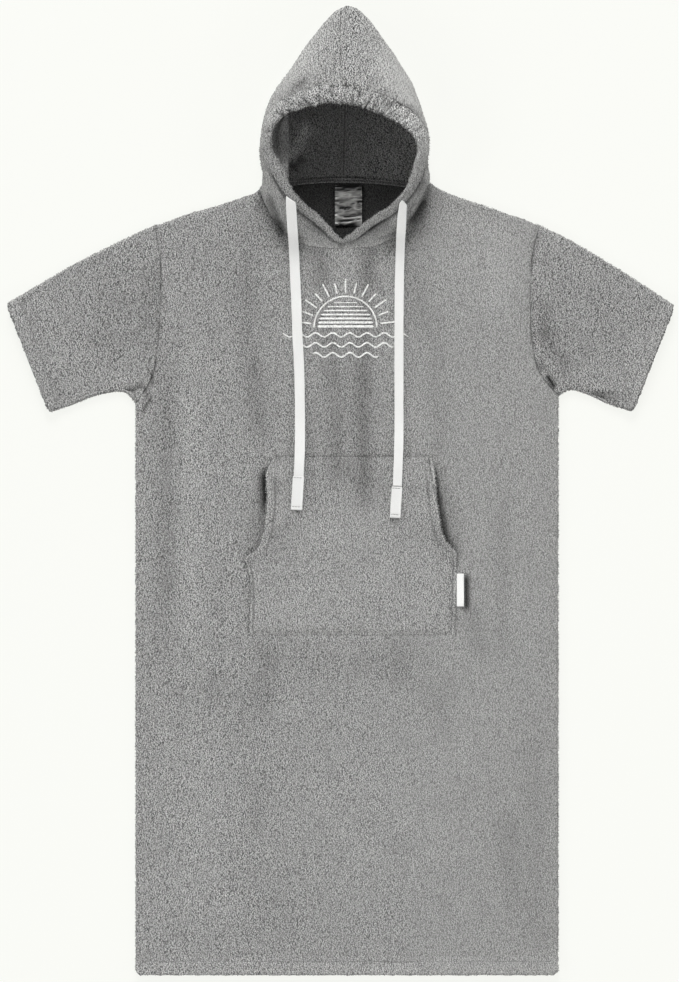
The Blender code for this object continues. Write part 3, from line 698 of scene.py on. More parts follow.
# Woven label: fine polyester taffeta, cut and folded. Smooth white with a faint grid.
def labelMaterial(low, high):
    material = newMaterial("polyester taffeta, woven")
    uv = addNode(material, "UVMap", {"uv_map": "cloth"})
    weave = addNode(material, "TexChecker", {
        "Scale": 1600.0,
        "Color1": hexColour(high),
        "Color2": hexColour(low),
    }, {"Vector": uv})
    finish = {"Roughness": 0.55, "Specular IOR Level": 0.35}
    return finishCloth(material, weave, weave.outputs[1], 0.1, 0.3, finish)


# Sewing thread: spun polyester. A little smoother than the cloth, twisted.
def threadMaterial(name, low, high):
    material = newMaterial(name)
    place = addNode(material, "TexCoord").outputs["Object"]
    twist = addNode(material, "TexNoise", {"Scale": 2200.0, "Detail": 1.0}, {"Vector": place})
    colour = addNode(material, "Mix", twoColours(low, high), {0: twist})
    finish = {"Roughness": 0.6, "Specular IOR Level": 0.4}
    return finishCloth(material, colour.outputs[2], twist, 0.1, 0.5, finish)


# Screen ink: white pigment pressed into the loops, so it is matt and breaks up where they part.
def inkMaterial(low, high):
    material = newMaterial("white textile ink, screen printed")
    place = addNode(material, "TexCoord").outputs["Object"]
    grain = addNode(material, "TexNoise", {"Scale": 430.0, "Detail": 3.0, "Roughness": 0.7}, {
        "Vector": place,
    })
    tone = addNode(material, "MapRange", {"From Min": 0.35, "From Max": 0.6}, {"Value": grain})
    colour = addNode(material, "Mix", twoColours(low, high), {0: tone})
    finish = {"Roughness": 0.85, "Specular IOR Level": 0.2}
    return finishCloth(material, colour.outputs[2], grain, 0.6, 0.7, finish)


terry = terryMaterial("cotton terry, woven loops", terryLook)
# painted shade: the same terry with its colour at 0.6, for the hood's inner faces and the seam tapes
terryInPaintedShade = terryMaterial("cotton terry, inner face, painted shade", terryLook, 0.6)
tape = tapeMaterial(tapeLook)
satin = satinMaterial(satinLook)
taffeta = labelMaterial("#E2E2E0", "#F4F4F2")
thread = threadMaterial("polyester thread, spun, grey", "#5E5E5D", "#8E8E8D")
whiteThread = threadMaterial("polyester thread, spun, white", "#8A8A88", "#AEAEAC")
ink = inkMaterial("#BDBDBB", "#F6F6F4")
print("materials done")

# Drawstrings

# turn: mm below its slit where a tape has opened and lies level
tapeSize = {"left": 14.2, "right": 12.8, "thickness": 1.5, "turn": 34.0, "stations": 190}

# middle of each tape from its slit down to its doubled end
routes = {
    "left": [
        (-78.4, 1085, 47.6), (-78.2, 1079, 45.0), (-77.6, 1066, 37.8), (-76.6, 1050, 25.4),
        (-75.6, 1036, 15.2), (-74.5, 1020, 10.4), (-72.9, 984, 9.6), (-70.9, 940, 9.6),
        (-69.4, 895, 9.6), (-67.2, 855, 9.6), (-66.0, 800, 9.6), (-65.8, 760, 10.4),
        (-65.9, 738, 12.4), (-66.6, 718, 13.8), (-67.6, 698, 13.8),
    ],
    "right": [
        (78.6, 1083, 45.2), (78.2, 1076, 42.2), (77.0, 1064, 34.6), (76.2, 1050, 24.0),
        (75.4, 1036, 14.8), (74.8, 1020, 10.4), (73.6, 984, 9.6), (73.0, 940, 9.6),
        (72.8, 895, 9.6), (72.8, 850, 9.6), (72.8, 800, 9.6), (72.8, 760, 10.4),
        (72.4, 738, 12.4), (71.6, 716, 13.8), (70.4, 684, 13.8),
    ],
}
# across: how the tape lies as it comes out of its slit; slant: mm that its right edge starts
# further down than its middle, because the casing's edge covers the rest; narrow: how much
# of the width is still folded under at the slit
slits = {
    "left": {"across": (0.97, -0.12, -0.12), "slant": 5.4, "narrow": 0.08},
    "right": {"across": (0.86, 0.0, -0.34), "slant": 1.6, "narrow": 0.6},
}
tips = {"left": [(-67.8, 698.6), (-70.6, 651.0)], "right": [(70.2, 683.6), (67.2, 640.0)]}
# rows: mm from the head and from the foot to a row of stitches; rowHalf: half its length
tipSize = {"left": 16.0, "right": 15.0, "thickness": 3.2, "rows": (2.4, 4.6), "rowHalf": 6.8, "stations": 52}


def tapeProfile(width, thickness):
    # flat strip with a thicker, rounded edge on both sides
    x = np.array((-0.5, -0.49, -0.46, -0.42, -0.2, 0.0, 0.2, 0.42, 0.46, 0.49, 0.5)) * width
    y = np.array((0.0, 0.34, 0.5, 0.44, 0.40, 0.42, 0.40, 0.44, 0.5, 0.34, 0.0)) * thickness
    return together(np.concatenate([x, x[-2:0:-1]]), np.concatenate([y, -y[-2:0:-1]]))[::-1]


def tapeFrame(path, firstAcross, turnLength):
    # across turns from its first direction to +x over turnLength, square to the path
    ahead = unit(np.gradient(path, axis=0))
    along = lengthsAlong(path)
    share = eased(along, 0.0, turnLength)[:, None]
    across = np.array(firstAcross) * (1.0 - share) + np.array((1.0, 0.0, 0.0)) * share
    across = unit(across - ahead * np.sum(across * ahead, axis=1, keepdims=True))
    up = unit(np.cross(ahead, across))
    return across, up * np.where(up[:, 2:] < 0, -1.0, 1.0), along


def tapeMesh(path, across, up, profile, widths, heights):
    # point = path + across * x * width + up * y * height, for each x and y of the profile
    x = profile[:, :1] * widths[:, None, None]
    y = profile[:, 1:] * heights[:, None, None]
    return path[:, None] + across[:, None] * x + up[:, None] * y


def tapePattern(profile, along):
    # map for the weave, in mm: across the tape and along it
    return together(np.tile(profile[:, 0] + 20.0, len(along)), np.repeat(along, len(profile)))


def addDrawstring(side):
    # the tape in waves of a few tenths of a mm, with a slant to the end that its slit hides
    slit = slits[side]
    path = evenly(smoothPath(routes[side], 12), tapeSize["stations"])
    across, up, along = tapeFrame(path, slit["across"], tapeSize["turn"])
    profile = tapeProfile(tapeSize[side], tapeSize["thickness"])
    loose = between(along, 60.0, 90.0, along[-1] - 60.0, along[-1] - 20.0)
    path[:, 2] += loose * (0.25 * np.sin(along / 23.0) + 0.2 * np.sin(along / 9.0 + 1.0))
    wobble = 1.0 + 0.012 * np.sin(along / 17.0) + 0.008 * np.sin(along / 6.1)
    folded = faded(along, -1.0, 6.0) + 0.2 * faded(along, 6.0, tapeSize["turn"])
    wobble = wobble * (1.0 - slit["narrow"] * folded)
    rings = tapeMesh(path, across, up, profile, wobble, wobble)
    slant = slit["slant"] * profile[None, :, :1] / (0.5 * tapeSize[side])
    slide = slant * faded(along, 0.0, 22.0)[:, None, None]
    rings = rings + unit(np.gradient(path, axis=0))[:, None] * slide
    points, faces = closedTubes(rings[None])
    # painted light: the tape is lighter over its first 45 to 95 mm below the slit, where it slopes down
    paintedLight = np.repeat(eased(along, 45.0, 95.0) - 1.0, len(profile))
    uv = tapePattern(profile, along)
    piece = addPiece("drawstring_tape_" + side, "drawstring_" + side, points, faces, tape, uv=uv,
                     creaseAndPaintedShade=paintedLight)
    return piece, path


def addTip(side):
    # the tape's end, folded back on itself and sewn across at its head and its foot
    start, end = (np.array((*point, 0.0)) for point in tips[side])
    low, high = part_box("drawstring_tip_" + side)
    path = start + (end - start) * shares(tipSize["stations"])[:, None]
    path[:, 2] = (low[2] + high[2]) * 500.0
    across, up, along = tapeFrame(path, (1.0, 0.0, 0.0), 1.0)
    length = along[-1]
    head, foot = tipSize["rows"]
    pinch = bell(along - head, 0.0, 0.8) + bell(along - length + foot, 0.0, 0.8)
    toEnd = np.minimum(along, length - along)
    height = (1.0 - 0.42 * pinch) * (0.5 + 0.5 * eased(toEnd, 0.0, 1.3))
    narrow = 1.0 - 0.05 * faded(toEnd, 0.0, 1.6)
    profile = tapeProfile(tipSize[side], tipSize["thickness"])
    points, faces = closedTubes(tapeMesh(path, across, up, profile, narrow, height)[None])
    uv = tapePattern(profile, along)
    piece = addPiece("drawstring_end_" + side, "drawstring_tip_" + side, points, faces, tape, uv=uv)
    # the rows of stitches, on the face that the pinch presses down
    top = path[0, 2] + tipSize["thickness"] * 0.5 * 0.62
    rows = []
    for at in (head, length - foot):
        middle = start + (end - start) * (at / length)
        ends = (middle + across[0] * w for w in (-tipSize["rowHalf"], tipSize["rowHalf"]))
        rows.append(np.array([(*end[:2], top) for end in ends]))
    return piece, rows


strings = {side: addDrawstring(side) for side in routes}
tipPieces = {side: addTip(side) for side in routes}
print("drawstrings done")

# Body panels

cloth = {
    "thickness": 2.5,  # one layer
    "gap": 0.3,  # between the front and the back where they are sewn together
    "seamGap": -0.2,  # between pieces joined by a seam: they overlap a little
    "hemBand": 21.0,
    "hemRow": 19.5,  # from the edge to the hem's line of stitches
    "hemExtra": 1.8,
    "air": 1.6,  # that the folds leave between the front and the back
    "pile": 0.25,  # how uneven the loops are
}
body = {
    "halfWidth": 295.5,
    "hemCorner": 7.0,
    "hemRowHalf": 287.0,  # half the length of the hem's line of stitches
    "shoulderTip": (269.5, 1049.0),
    "neckPoint": (118.0, 1100.0),
    "backNeckRise": 12.0,
    "frontRows": 205,
    "backRows": 90,
    "armholeRows": 68,
    "shoulderColumns": 44,
    "collarSteps": 36,
}
sides = {
    "left": {
        "sign": -1.0,
        "underarm": (295.5, 800.0),
        "armhole": [(262.5, 1008.0), (261.8, 930.0), (266.0, 876.0), (274.0, 834.0)],
        "cuffTop": (476.0, 939.5),
        "cuffBottom": (415.8, 788.5),
        "sleeveTop": [(301.0, 1034.6), (385.0, 992.6)],
        "sleeveBottom": [(308.0, 814.5), (346.0, 813.0), (384.0, 799.0)],
        "shoulderSag": [
            (90, -6.6), (119, -6.4), (130, -4.5), (155, -3.7), (186, -3.0), (209, -1.2), (225, -0.4),
            (245, -1.2), (258, -1.2), (270, 0),
        ],
    },
    "right": {
        "sign": 1.0,
        "underarm": (295.5, 811.0),
        "armhole": [(260.5, 1008.0), (257.6, 940.0), (259.5, 886.0), (270.0, 843.0)],
        "cuffTop": (457.8, 937.0),
        "cuffBottom": (399.0, 789.6),
        "sleeveTop": [(299.6, 1034.6), (372.4, 992.6)],
        "sleeveBottom": [(311.0, 819.0), (336.0, 813.5), (364.0, 800.5)],
        "neckRise": 9.0,  # the corner between hood and shoulder lies higher on this side
        "shoulderSag": [
            (90, 13), (112, 13), (116, 10), (121, 7.6), (127, 5.6), (139, 3.9), (155, 2.8), (200, 2.4),
            (217, 1.1), (245, 1.1), (262, 0.2), (270, 0),
        ],
    },
}
# the front's neckline: angle and distance from the middle of the face
neckCurve = [(-90.0, 111.0), (-78.0, 113.5), (-65.0, 118.0), (-51.0, 120.5), (-33.0, 118.5), (-14.6, 121.9)]
faceMiddle = 1130.0
neckAngle = -14.6  # where it meets the shoulders

# soft folds from (x, y) to (x, y): half width, height
frontFolds = [
    (-247, 890, -250, 320, 17, -2.7), (-222, 900, -228, 380, 20, 2.5), (-252, 1030, -254, 880, 16, -1.8),
    (-143, 1064, -136, 880, 18, -2.5), (-136, 880, -112, 735, 18, -2.4), (-118, 1010, -104, 840, 18, 2.2),
    (-31, 1016, -31, 960, 15, -1.9), (-12, 890, -10, 640, 16, -2.4), (5, 1005, 8, 640, 15, 2.8),
    (31, 1012, 33, 850, 16, -2.3), (33, 850, 36, 640, 16, -3), (55, 1005, 58, 650, 17, 2.7),
    (91, 1012, 91, 780, 18, -1.8), (205, 960, 250, 868, 20, 3), (240, 1000, 252, 900, 16, -1.8),
    (200, 590, 232, 500, 20, -1.8), (168, 500, 205, 410, 20, -1.8), (-108, 462, -104, 318, 18, -2),
    (-157, 400, -155, 310, 18, -1.9), (-130, 440, -132, 330, 18, 2), (67, 430, 70, 400, 22, -1.5),
    (-136, 285, -108, 186, 18, -1.8), (266, 330, 270, 170, 18, -2.1), (-225, 180, -262, 70, 20, -1.7),
    (180, 300, 120, 120, 30, 1.8), (-40, 360, -20, 160, 32, 1.8),
]
# narrow creases of the front, at the underarms
frontCreases = [
    (-291, 790, -268, 828, 3, -2.6), (-284, 786, -262, 818, 3, 1.6), (-273, 826, -258, 846, 3.2, 1),
    (278, 822, 262, 858, 4.5, -1.6), (268, 820, 252, 856, 5, 1),
]
# painted light and shade: broad light and dark bands of the same folds, half width and strength in place of
# the height
frontPaintedShading = [
    (-252, 905, -254, 455, 11, 0.27), (-217, 830, -219, 440, 14, -0.16), (-212, 350, -220, 60, 34, -0.12),
    (-139, 1035, -137, 890, 12, 0.25), (-136, 890, -119, 735, 11, 0.33), (-38, 1035, -36, 960, 9, 0.4),
    (-36, 960, -15, 800, 9, 0.25), (-15, 800, -15, 690, 8, 0.3), (29, 1035, 29, 960, 10, 0.5),
    (29, 960, 22, 800, 10, 0.4), (22, 810, 24, 655, 9, 0.42), (-5, 870, -5, 660, 44, 0.14),
    (102, 990, 104, 890, 10, 0.2), (125, 940, 129, 700, 11, 0.17), (220, 700, 215, 440, 9, 0.14),
    (176, 515, 188, 440, 8, 0.22), (210, 1015, 208, 920, 14, -0.14), (160, 1030, 240, 1005, 26, -0.08),
    (-116, 470, -112, 385, 12, 0.2), (-116, 400, -112, 345, 9, 0.12), (-125, 441, 140, 441, 24, 0.1),
    (70, 470, 73, 392, 9, 0.14), (128, 405, 131, 345, 12, 0.16), (-183, 430, -184, 380, 10, 0.18),
    (-147, 400, -146, 345, 9, 0.1), (-126, 275, -128, 200, 9, 0.14), (224, 230, 233, 85, 12, 0.18),
    (262, 360, 266, 20, 13, 0.13), (50, 180, 95, 176, 12, 0.12), (-120, 130, -60, 60, 26, 0.08),
    (0, 320, 60, 120, 60, -0.07), (-200, 110, -130, 95, 30, -0.05), (-180, 1050, -165, 900, 40, 0.07),
]
# painted shade, and a little painted light, at the underarms: half width, then strength
underarmShades = [
    (-272, 812, -288, 786, 1.9, 0.95), (-275, 846, -271, 824, 2.2, 0.55), (-293, 823, -281, 822, 1.3, 0.6),
    (-284, 824, -278, 811, 1.4, 0.7), (-278, 815, -285, 802, 1.3, 0.6), (-309, 819.5, -297, 818, 1.4, 0.7),
    (-299, 819, -296, 808, 1.3, 0.6), (-284, 812, -292, 803, 3, -0.25), (278, 842, 293, 819, 2.8, 1.35),
    (263, 912, 318, 836, 9, 0.32), (276, 950, 279, 885, 9, 0.3), (266, 862, 274, 845, 3, 0.3),
    (336, 816.5, 381, 814.5, 1.7, 0.55), (344, 812, 376, 803, 4, 0.28), (382, 815, 374, 802, 1.6, 0.35),
]
sleeveFolds = [
    (-330, 1000, -318, 850, 18, -2.4), (-300, 860, -360, 900, 16, -2.4), (-390, 960, -366, 830, 20, 2.2),
    (276, 992, 290, 925, 16, -2.4), (279, 895, 318, 845, 16, -3.2), (330, 985, 352, 860, 20, 2.4),
    (345, 950, 372, 850, 17, -2),
]
sleeveCreases = [
    (-316, 816, -279, 824, 2.8, -2.8), (-312, 824, -282, 832, 4, 1.8), (-287, 826, -272, 846, 3, -2.2),
    (272, 856, 292, 820, 4.4, -3.6), (281, 862, 300, 828, 5, 1.6), (331, 815, 373, 805, 3.2, -2.6),
    (334, 823, 374, 812, 4, 1.6),
]
# painted shade, and a little painted light, along the collar's creases beside the hood: half width, then
# strength
collarShades = [
    (-112, 1096, -85, 1030, 4.6, 0.84), (-104, 1066, -87, 1028, 4.4, 0.25),
    (-116, 1101, -125, 1066, 2.2, 0.45), (-103, 1110, -90, 1060, 3.2, -0.16),
    (-60, 1052, -30, 1036, 4, 0.3), (-69, 1036, -56, 1030, 1.3, 0.6), (-67, 1074, -42, 1050, 3.4, 0.3),
    (117, 1112, 113, 1085, 2.2, 0.4), (113, 1090, 87, 1047, 4.4, 0.88), (109, 1115, 97, 1086, 1.7, 0.6),
    (98, 1088, 83, 1062, 1.9, 0.6), (104, 1096, 90, 1066, 2.2, -0.34), (45, 1032, 71, 1040, 1.3, 0.5),
    (26, 1040, 65, 1054, 5, 0.45),
]
# painted light and shade bands of the sleeves' folds: half width and strength
sleevePaintedShading = [
    (-276, 1000, -276, 880, 16, 0.16), (-340, 960, -330, 860, 14, 0.08), (-410, 930, -386, 830, 18, -0.08),
    (-350, 1010, -340, 850, 60, 0.12), (340, 1010, 330, 850, 60, 0.1), (420, 900, 400, 830, 20, -0.08),
]


def lean(y):
    # how far the hood's centre line lies beside the body's: -7 mm at the neck, 0 at the crown
    return -7.0 + 7.0 * (y - 1030.0) / 310.0


def neckline(sign, steps, out=0.0):
    # one side of the front's neckline in plan, from its middle to the shoulder
    angles = np.linspace(-90.0, neckAngle, steps + 1)
    radius = tableValue(angles, *np.array(neckCurve).T) + out
    y = faceMiddle + radius * np.sin(np.radians(angles))
    return together(lean(y) + sign * radius * np.cos(np.radians(angles)), y)


def backNeckY(x):
    # the back's neckline: a parabola that rises from both neck points
    share = (np.asarray(x, float) - lean(body["neckPoint"][1])) / body["neckPoint"][0]
    return body["neckPoint"][1] + body["backNeckRise"] * (1.0 - share**2)


def armhole(side, rows, out=0.0):
    # curve from the underarm up to the tip of the shoulder
    row = sides[side]
    points = [row["underarm"]] + row["armhole"][::-1] + [body["shoulderTip"]]
    curve = evenly(smoothPath(points, 20), rows + 1)
    return together(row["sign"] * (curve[:, 0] + out), curve[:, 1])


def bodySide(side, rows, armholeRows):
    # straight side seam from the hem, then the armhole
    row = sides[side]
    x = row["sign"] * body["halfWidth"]
    straight = np.linspace((x, 0.0), (x, row["underarm"][1]), rows + 1)
    return np.concatenate([straight[:-1], armhole(side, armholeRows)])


def shoulder(side, neckEnd, columns):
    # a straight line from the sleeve to the neck, plus its own sag or rise beside the hood
    row = sides[side]
    tip = np.array(body["shoulderTip"]) * (row["sign"], 1.0)
    line = tip + (neckEnd - tip) * shares(columns + 1)[:, None]
    line[:, 1] += tableValue(np.abs(line[:, 0]), *np.array(row["shoulderSag"], float).T)
    return line


def bodyPanel(neck, rows, armholeRows, columns, rise=0.0):
    # a panel in plan: hem, sides with armholes, shoulders and the given neckline, whose right
    # corner is raised; the hem's corners are three quarters of a circle's quarter
    left = bodySide("left", rows, armholeRows)
    right = bodySide("right", rows, armholeRows)
    top = np.concatenate([
        shoulder("left", neck[0], columns)[:-1],
        neck,
        shoulder("right", neck[-1] - (0.0, rise), columns)[::-1][1:],
    ])
    corner = body["hemCorner"]
    for line, sign in ((left, 1.0), (right, -1.0)):
        near = np.clip(1.0 - line[:, 1] / corner, 0.0, 1.0)
        line[:, 0] += sign * corner * (1.0 - np.sqrt(np.clip(1.0 - near**2, 0.0, 1.0))) * 0.75
    bottom = np.linspace(left[0], right[0], len(top))
    return patch(bottom, top, left, right, shares(len(top)), left[:, 1] / left[-1, 1])


def hemStep(distance):
    # 1 on the turned band, 0 beyond it
    return 1.0 - eased(distance, cloth["hemBand"] - 1.0, cloth["hemBand"] + 3.5)


def hemGroove(distance):
    # the line of stitches draws the cloth in
    return bell(distance, cloth["hemRow"], 1.3)


def undulation(x, y):
    # slow unevenness of cloth that lies loose, of three sizes
    return layered(flatPlace(x, y), (0.7, 72.0, 1), (0.5, 33.0, 2), (0.2, 14.0, 3))


def frontLift(x, y, distance):
    # air under the front: nothing at its seams, folds and creases further in, never below 0
    inner = eased(distance, 0.0, 42.0)
    height = inner * (cloth["air"] + foldHeight(x, y, frontFolds) + undulation(x, y))
    return np.maximum(0.0, height + creaseHeight(x, y, frontCreases) * eased(distance, 0.0, 6.0))


def frontWall(x, y, distance):
    # height of the front's middle surface, and its thickness
    band = hemStep(y)
    thickness = cloth["thickness"] + cloth["hemExtra"] * band
    below = cloth["thickness"] + cloth["gap"] + cloth["hemExtra"] * band
    middle = below + frontLift(x, y, distance) + thickness / 2
    # a seam's allowance lies under the cloth beside it
    middle = middle + 0.5 * bell(distance, 6.0, 4.0) * (y > 60.0)
    return middle, thickness - 0.9 * hemGroove(y)


def frontTop(x, y):
    # height of the front's outer face, away from its seams
    x, y = np.asarray(x, float), np.asarray(y, float)
    middle, thickness = frontWall(x, y, np.full_like(x, 60.0))
    return middle + thickness / 2


def pile(shape, seed, amount=None):
    # uneven loops: a random step at each point
    return np.random.default_rng(seed).normal(0.0, amount or cloth["pile"], shape)


def roughEdge(plan, seed, amount=0.55):
    # the outline's points stepped in and out at random, as loops stand out of a seam
    steps = np.random.default_rng(seed).normal(0.0, amount, plan.shape)
    steps[1:-1, 1:-1] = 0.0
    return plan + np.clip(steps, -1.2, 1.2)


def baseShade(x, y):
    # painted shade and light along the seam between hood and body: dark where the hood leans on the
    # shoulders, and light at the front, where the seam hardly shows
    aside = x - lean(y)
    angle = np.degrees(np.arctan2(y - faceMiddle, np.abs(aside)))
    radius = tableValue(np.clip(angle, -90.0, neckAngle), *np.array(neckCurve).T)
    distance = np.hypot(aside, y - faceMiddle) - radius
    low = 1.0 - eased(angle, -10.0, 0.0)
    front = 1.0 - eased(angle, -70.0, -56.0)
    deep = bell(angle, -27.0, 17.0)
    shade = 0.3 * deep * bell(distance, 1.0, 6.0) - 0.5 * front * bell(distance, 0.0, 6.0)
    return low * (shade + (np.abs(distance) < 30.0) * creaseHeight(x, y, collarShades))


def seamShade(distance, x, y):
    # painted shade along a seam: a broken dark line
    patchy = np.clip(0.55 + 1.1 * softNoise(flatPlace(x, y), 13.0, 91), 0.05, 1.0)
    return 0.5 * patchy * bell(distance, 0.4, 1.5) + 0.1 * bell(distance, 0.0, 7.0)


def nearLine(x, y, line):
    # distance from each point of a grid to the nearest point of a line in plan
    return np.min(np.hypot(x[..., None] - line[:, 0], y[..., None] - line[:, 1]), axis=-1)


def pocketShade(x, y):
    # painted shade on the front round the pocket: under its open mouths and along its sewn edges
    left, right = pocketSides(90)
    low, high = pocket["mouth"]
    foot, top = left[0, 1], left[-1, 1]
    mouth = between(y, low - 22.0, low + 6.0, high - 16.0, high + 8.0)
    outLeft = nearLine(x, y, left) * np.where(x < np.interp(y, left[:, 1], left[:, 0]), 1.0, -1.0)
    outRight = nearLine(x, y, right) * np.where(x > np.interp(y, right[:, 1], right[:, 0]), 1.0, -1.0)
    wide = 4.2 + 2.4 * eased(y, low + 10.0, low + 60.0)
    upper = 0.3 + 0.7 * eased(y, low + 44.0, low + 72.0)
    shade = mouth * upper * 1.35 * bell(outLeft, 2.5, wide)
    reach = np.interp(y, *np.array(pocket["mouthShadow"]).T)
    mouthShadow = (0.95 + 0.35 * bell(outRight, 0.0, 4.0)) * faded(outRight, reach - 2.5, reach + 3.0)
    shade = shade + mouth * mouthShadow * (outRight > -12.0)
    sewn = (y > foot) * faded(y, low - 14.0, low)
    shade = shade + 0.4 * sewn * (bell(outLeft, 0.8, 2.2) + 0.6 * bell(outRight, 0.8, 2.2))
    inside = (outLeft < 1.0) & (outRight < 1.0)
    # painted shade above its top edge, painted light below its foot and a painted shadow beside the side
    # label
    ends = 0.4 * bell(y - top, 1.0, 2.4) - 0.2 * bell(y - foot, -1.5, 2.6)
    label = 1.3 * bell(x, 167.5, 4.4) * between(y, 504.0, 518.0, 554.0, 566.0)
    return ((y > foot - 8.0) & (y < top + 8.0)) * (shade + inside * ends + label)


def frontShade(x, y, toSide):
    # painted shade of the front's pile: seams, creases, the pocket and the troughs of the folds
    shade = foldHeight(x, y, frontPaintedShading) + (y > 815.0) * seamShade(toSide, x, y)
    shade = shade + creaseHeight(x, y, underarmShades) + baseShade(x, y) + pocketShade(x, y)
    # painted light on the hem's band, painted shade in its line of stitches
    return shade - 0.2 * hemStep(y) + 0.3 * hemGroove(y)


def addBack():
    # flat below, as thick as its cloth, with a rough edge
    x = np.linspace(neckline(-1.0, 4)[-1, 0], neckline(1.0, 4)[-1, 0], 41)
    neck = together(x, backNeckY(x) - cloth["seamGap"])
    plan = bodyPanel(neck, body["backRows"], body["armholeRows"] // 2, body["shoulderColumns"] // 2)
    band = hemStep(plan[..., 1])
    thickness = cloth["thickness"] + cloth["hemExtra"] * band
    # inside the neck no light reaches the cloth
    deep = 1.18 * eased(plan[..., 1], 960.0, 1000.0) * faded(np.abs(plan[..., 0]), 116.0, 128.0)
    points, quads, source = shell(withHeight(roughEdge(plan, 10, 0.4), thickness / 2), thickness)
    count = plan.shape[0] * plan.shape[1]
    points[:count, 2] += pile(count, 11) * 0.6
    points[:, 2] = np.maximum(points[:, 2], 0.0)
    creaseAndPaintedShade = onWall(source, deep, np.zeros_like(deep))
    return addPiece("back_panel", "back", points, quads, terry, creaseAndPaintedShade=creaseAndPaintedShade)


def addFront():
    # the wall of frontWall over the panel's plan, with its neck drawn up at the right
    right = neckline(1.0, body["collarSteps"], cloth["seamGap"])[1:]
    left = neckline(-1.0, body["collarSteps"], cloth["seamGap"])[::-1]
    rise = sides["right"]["neckRise"]
    right[:, 1] += rise * eased(right[:, 1], right[-1, 1] - 16.0, right[-1, 1])
    neck = np.concatenate([left, right])
    plan = bodyPanel(neck, body["frontRows"], body["armholeRows"], body["shoulderColumns"], rise)
    x, y = plan[..., 0], plan[..., 1]
    runs = edgeRuns(plan)
    middle, thickness = frontWall(x, y, np.minimum(*runs))
    shade = frontShade(x, y, runs[1])
    middle = middle + pile(x.shape, 12)
    points, quads, source = shell(withHeight(roughEdge(plan, 13), middle), thickness)
    # the pile stands more open on the left and lies smoother on the right
    smooth = onWall(source, 0.22 * eased(x, 30.0, 150.0) - 0.14 * eased(-x, 30.0, 150.0))
    creaseAndPaintedShade = onWall(source, shade)
    return addPiece("front_panel", "front", points, quads, terry, creaseAndPaintedShade=creaseAndPaintedShade, calm=smooth)


pocket = {
    "left": [
        (-136, 476), (-140, 574), (-142.5, 582), (-127, 595), (-118, 622), (-112.5, 662), (-110.5, 710),
        (-101, 725),
    ],
    "right": [
        (150, 476), (153.5, 580), (153.5, 590), (138, 609), (130.5, 637), (125, 682), (121.5, 712),
        (119, 725),
    ],
    "mouth": (596.0, 712.0),
    "gape": 7.5,
    "clear": 0.5,
    "rows": 118,
    "columns": 122,
    "hem": 12.0,
    "rowsIn": {"left": 4.2, "right": 5.4},  # mm from the side's edge to its line of stitches
    "topRow": 4.0,  # and from the top edge
    # y, and how far out the painted shade under the right mouth reaches there
    "mouthShadow": [
        (596.0, 1.0), (604.0, 4.0), (618.0, 8.5), (640.0, 8.5), (665.0, 6.5), (692.0, 4.0), (712.0, 2.0),
    ],
}


def pocketSides(rows):
    # the pocket's two sides in plan, from its foot to its top
    return evenly(smoothPath(pocket["left"], 12), rows), evenly(smoothPath(pocket["right"], 12), rows)


back = addBack()
front = addFront()
print("body done")

# Sleeves

sleeve = {
    "rows": 78,
    "stations": 92,
    "edgeSteps": 7,
    "bend": 1.75,  # radius of the folded edges' middle surface
    "hemBend": 1.3,  # what the turned hem adds to it
    "hemExtra": 1.3,
    "length": 200.0,
    "cuffCorner": (7.0, 3.2),
}


def sleevePlan(side):
    # rows from the top fold to the underarm, columns from the armhole to the cuff
    row = sides[side]
    sign = row["sign"]
    start = armhole(side, sleeve["rows"], cloth["seamGap"])[::-1] * (sign, 1.0)
    top = evenly(smoothPath([start[0], *row["sleeveTop"], row["cuffTop"]], 12), sleeve["stations"])
    bottom = evenly(smoothPath([start[-1], *row["sleeveBottom"], row["cuffBottom"]], 12), sleeve["stations"])
    cuff = np.linspace(row["cuffTop"], row["cuffBottom"], len(start))
    # the cuff's corners are soft
    soft = shares(len(start))
    ahead = unit(np.array(row["cuffTop"]) - top[-12])
    near = np.minimum(soft, 1.0 - soft) * np.linalg.norm(cuff[-1] - cuff[0])
    wide, deep = sleeve["cuffCorner"]
    cuff = cuff - ahead * (deep * faded(near, 0.0, wide))[:, None]
    top[-1], bottom[-1] = cuff[0], cuff[-1]
    along = shares(sleeve["stations"])
    return patch(top, bottom, start, cuff, along, soft) * (sign, 1.0), along


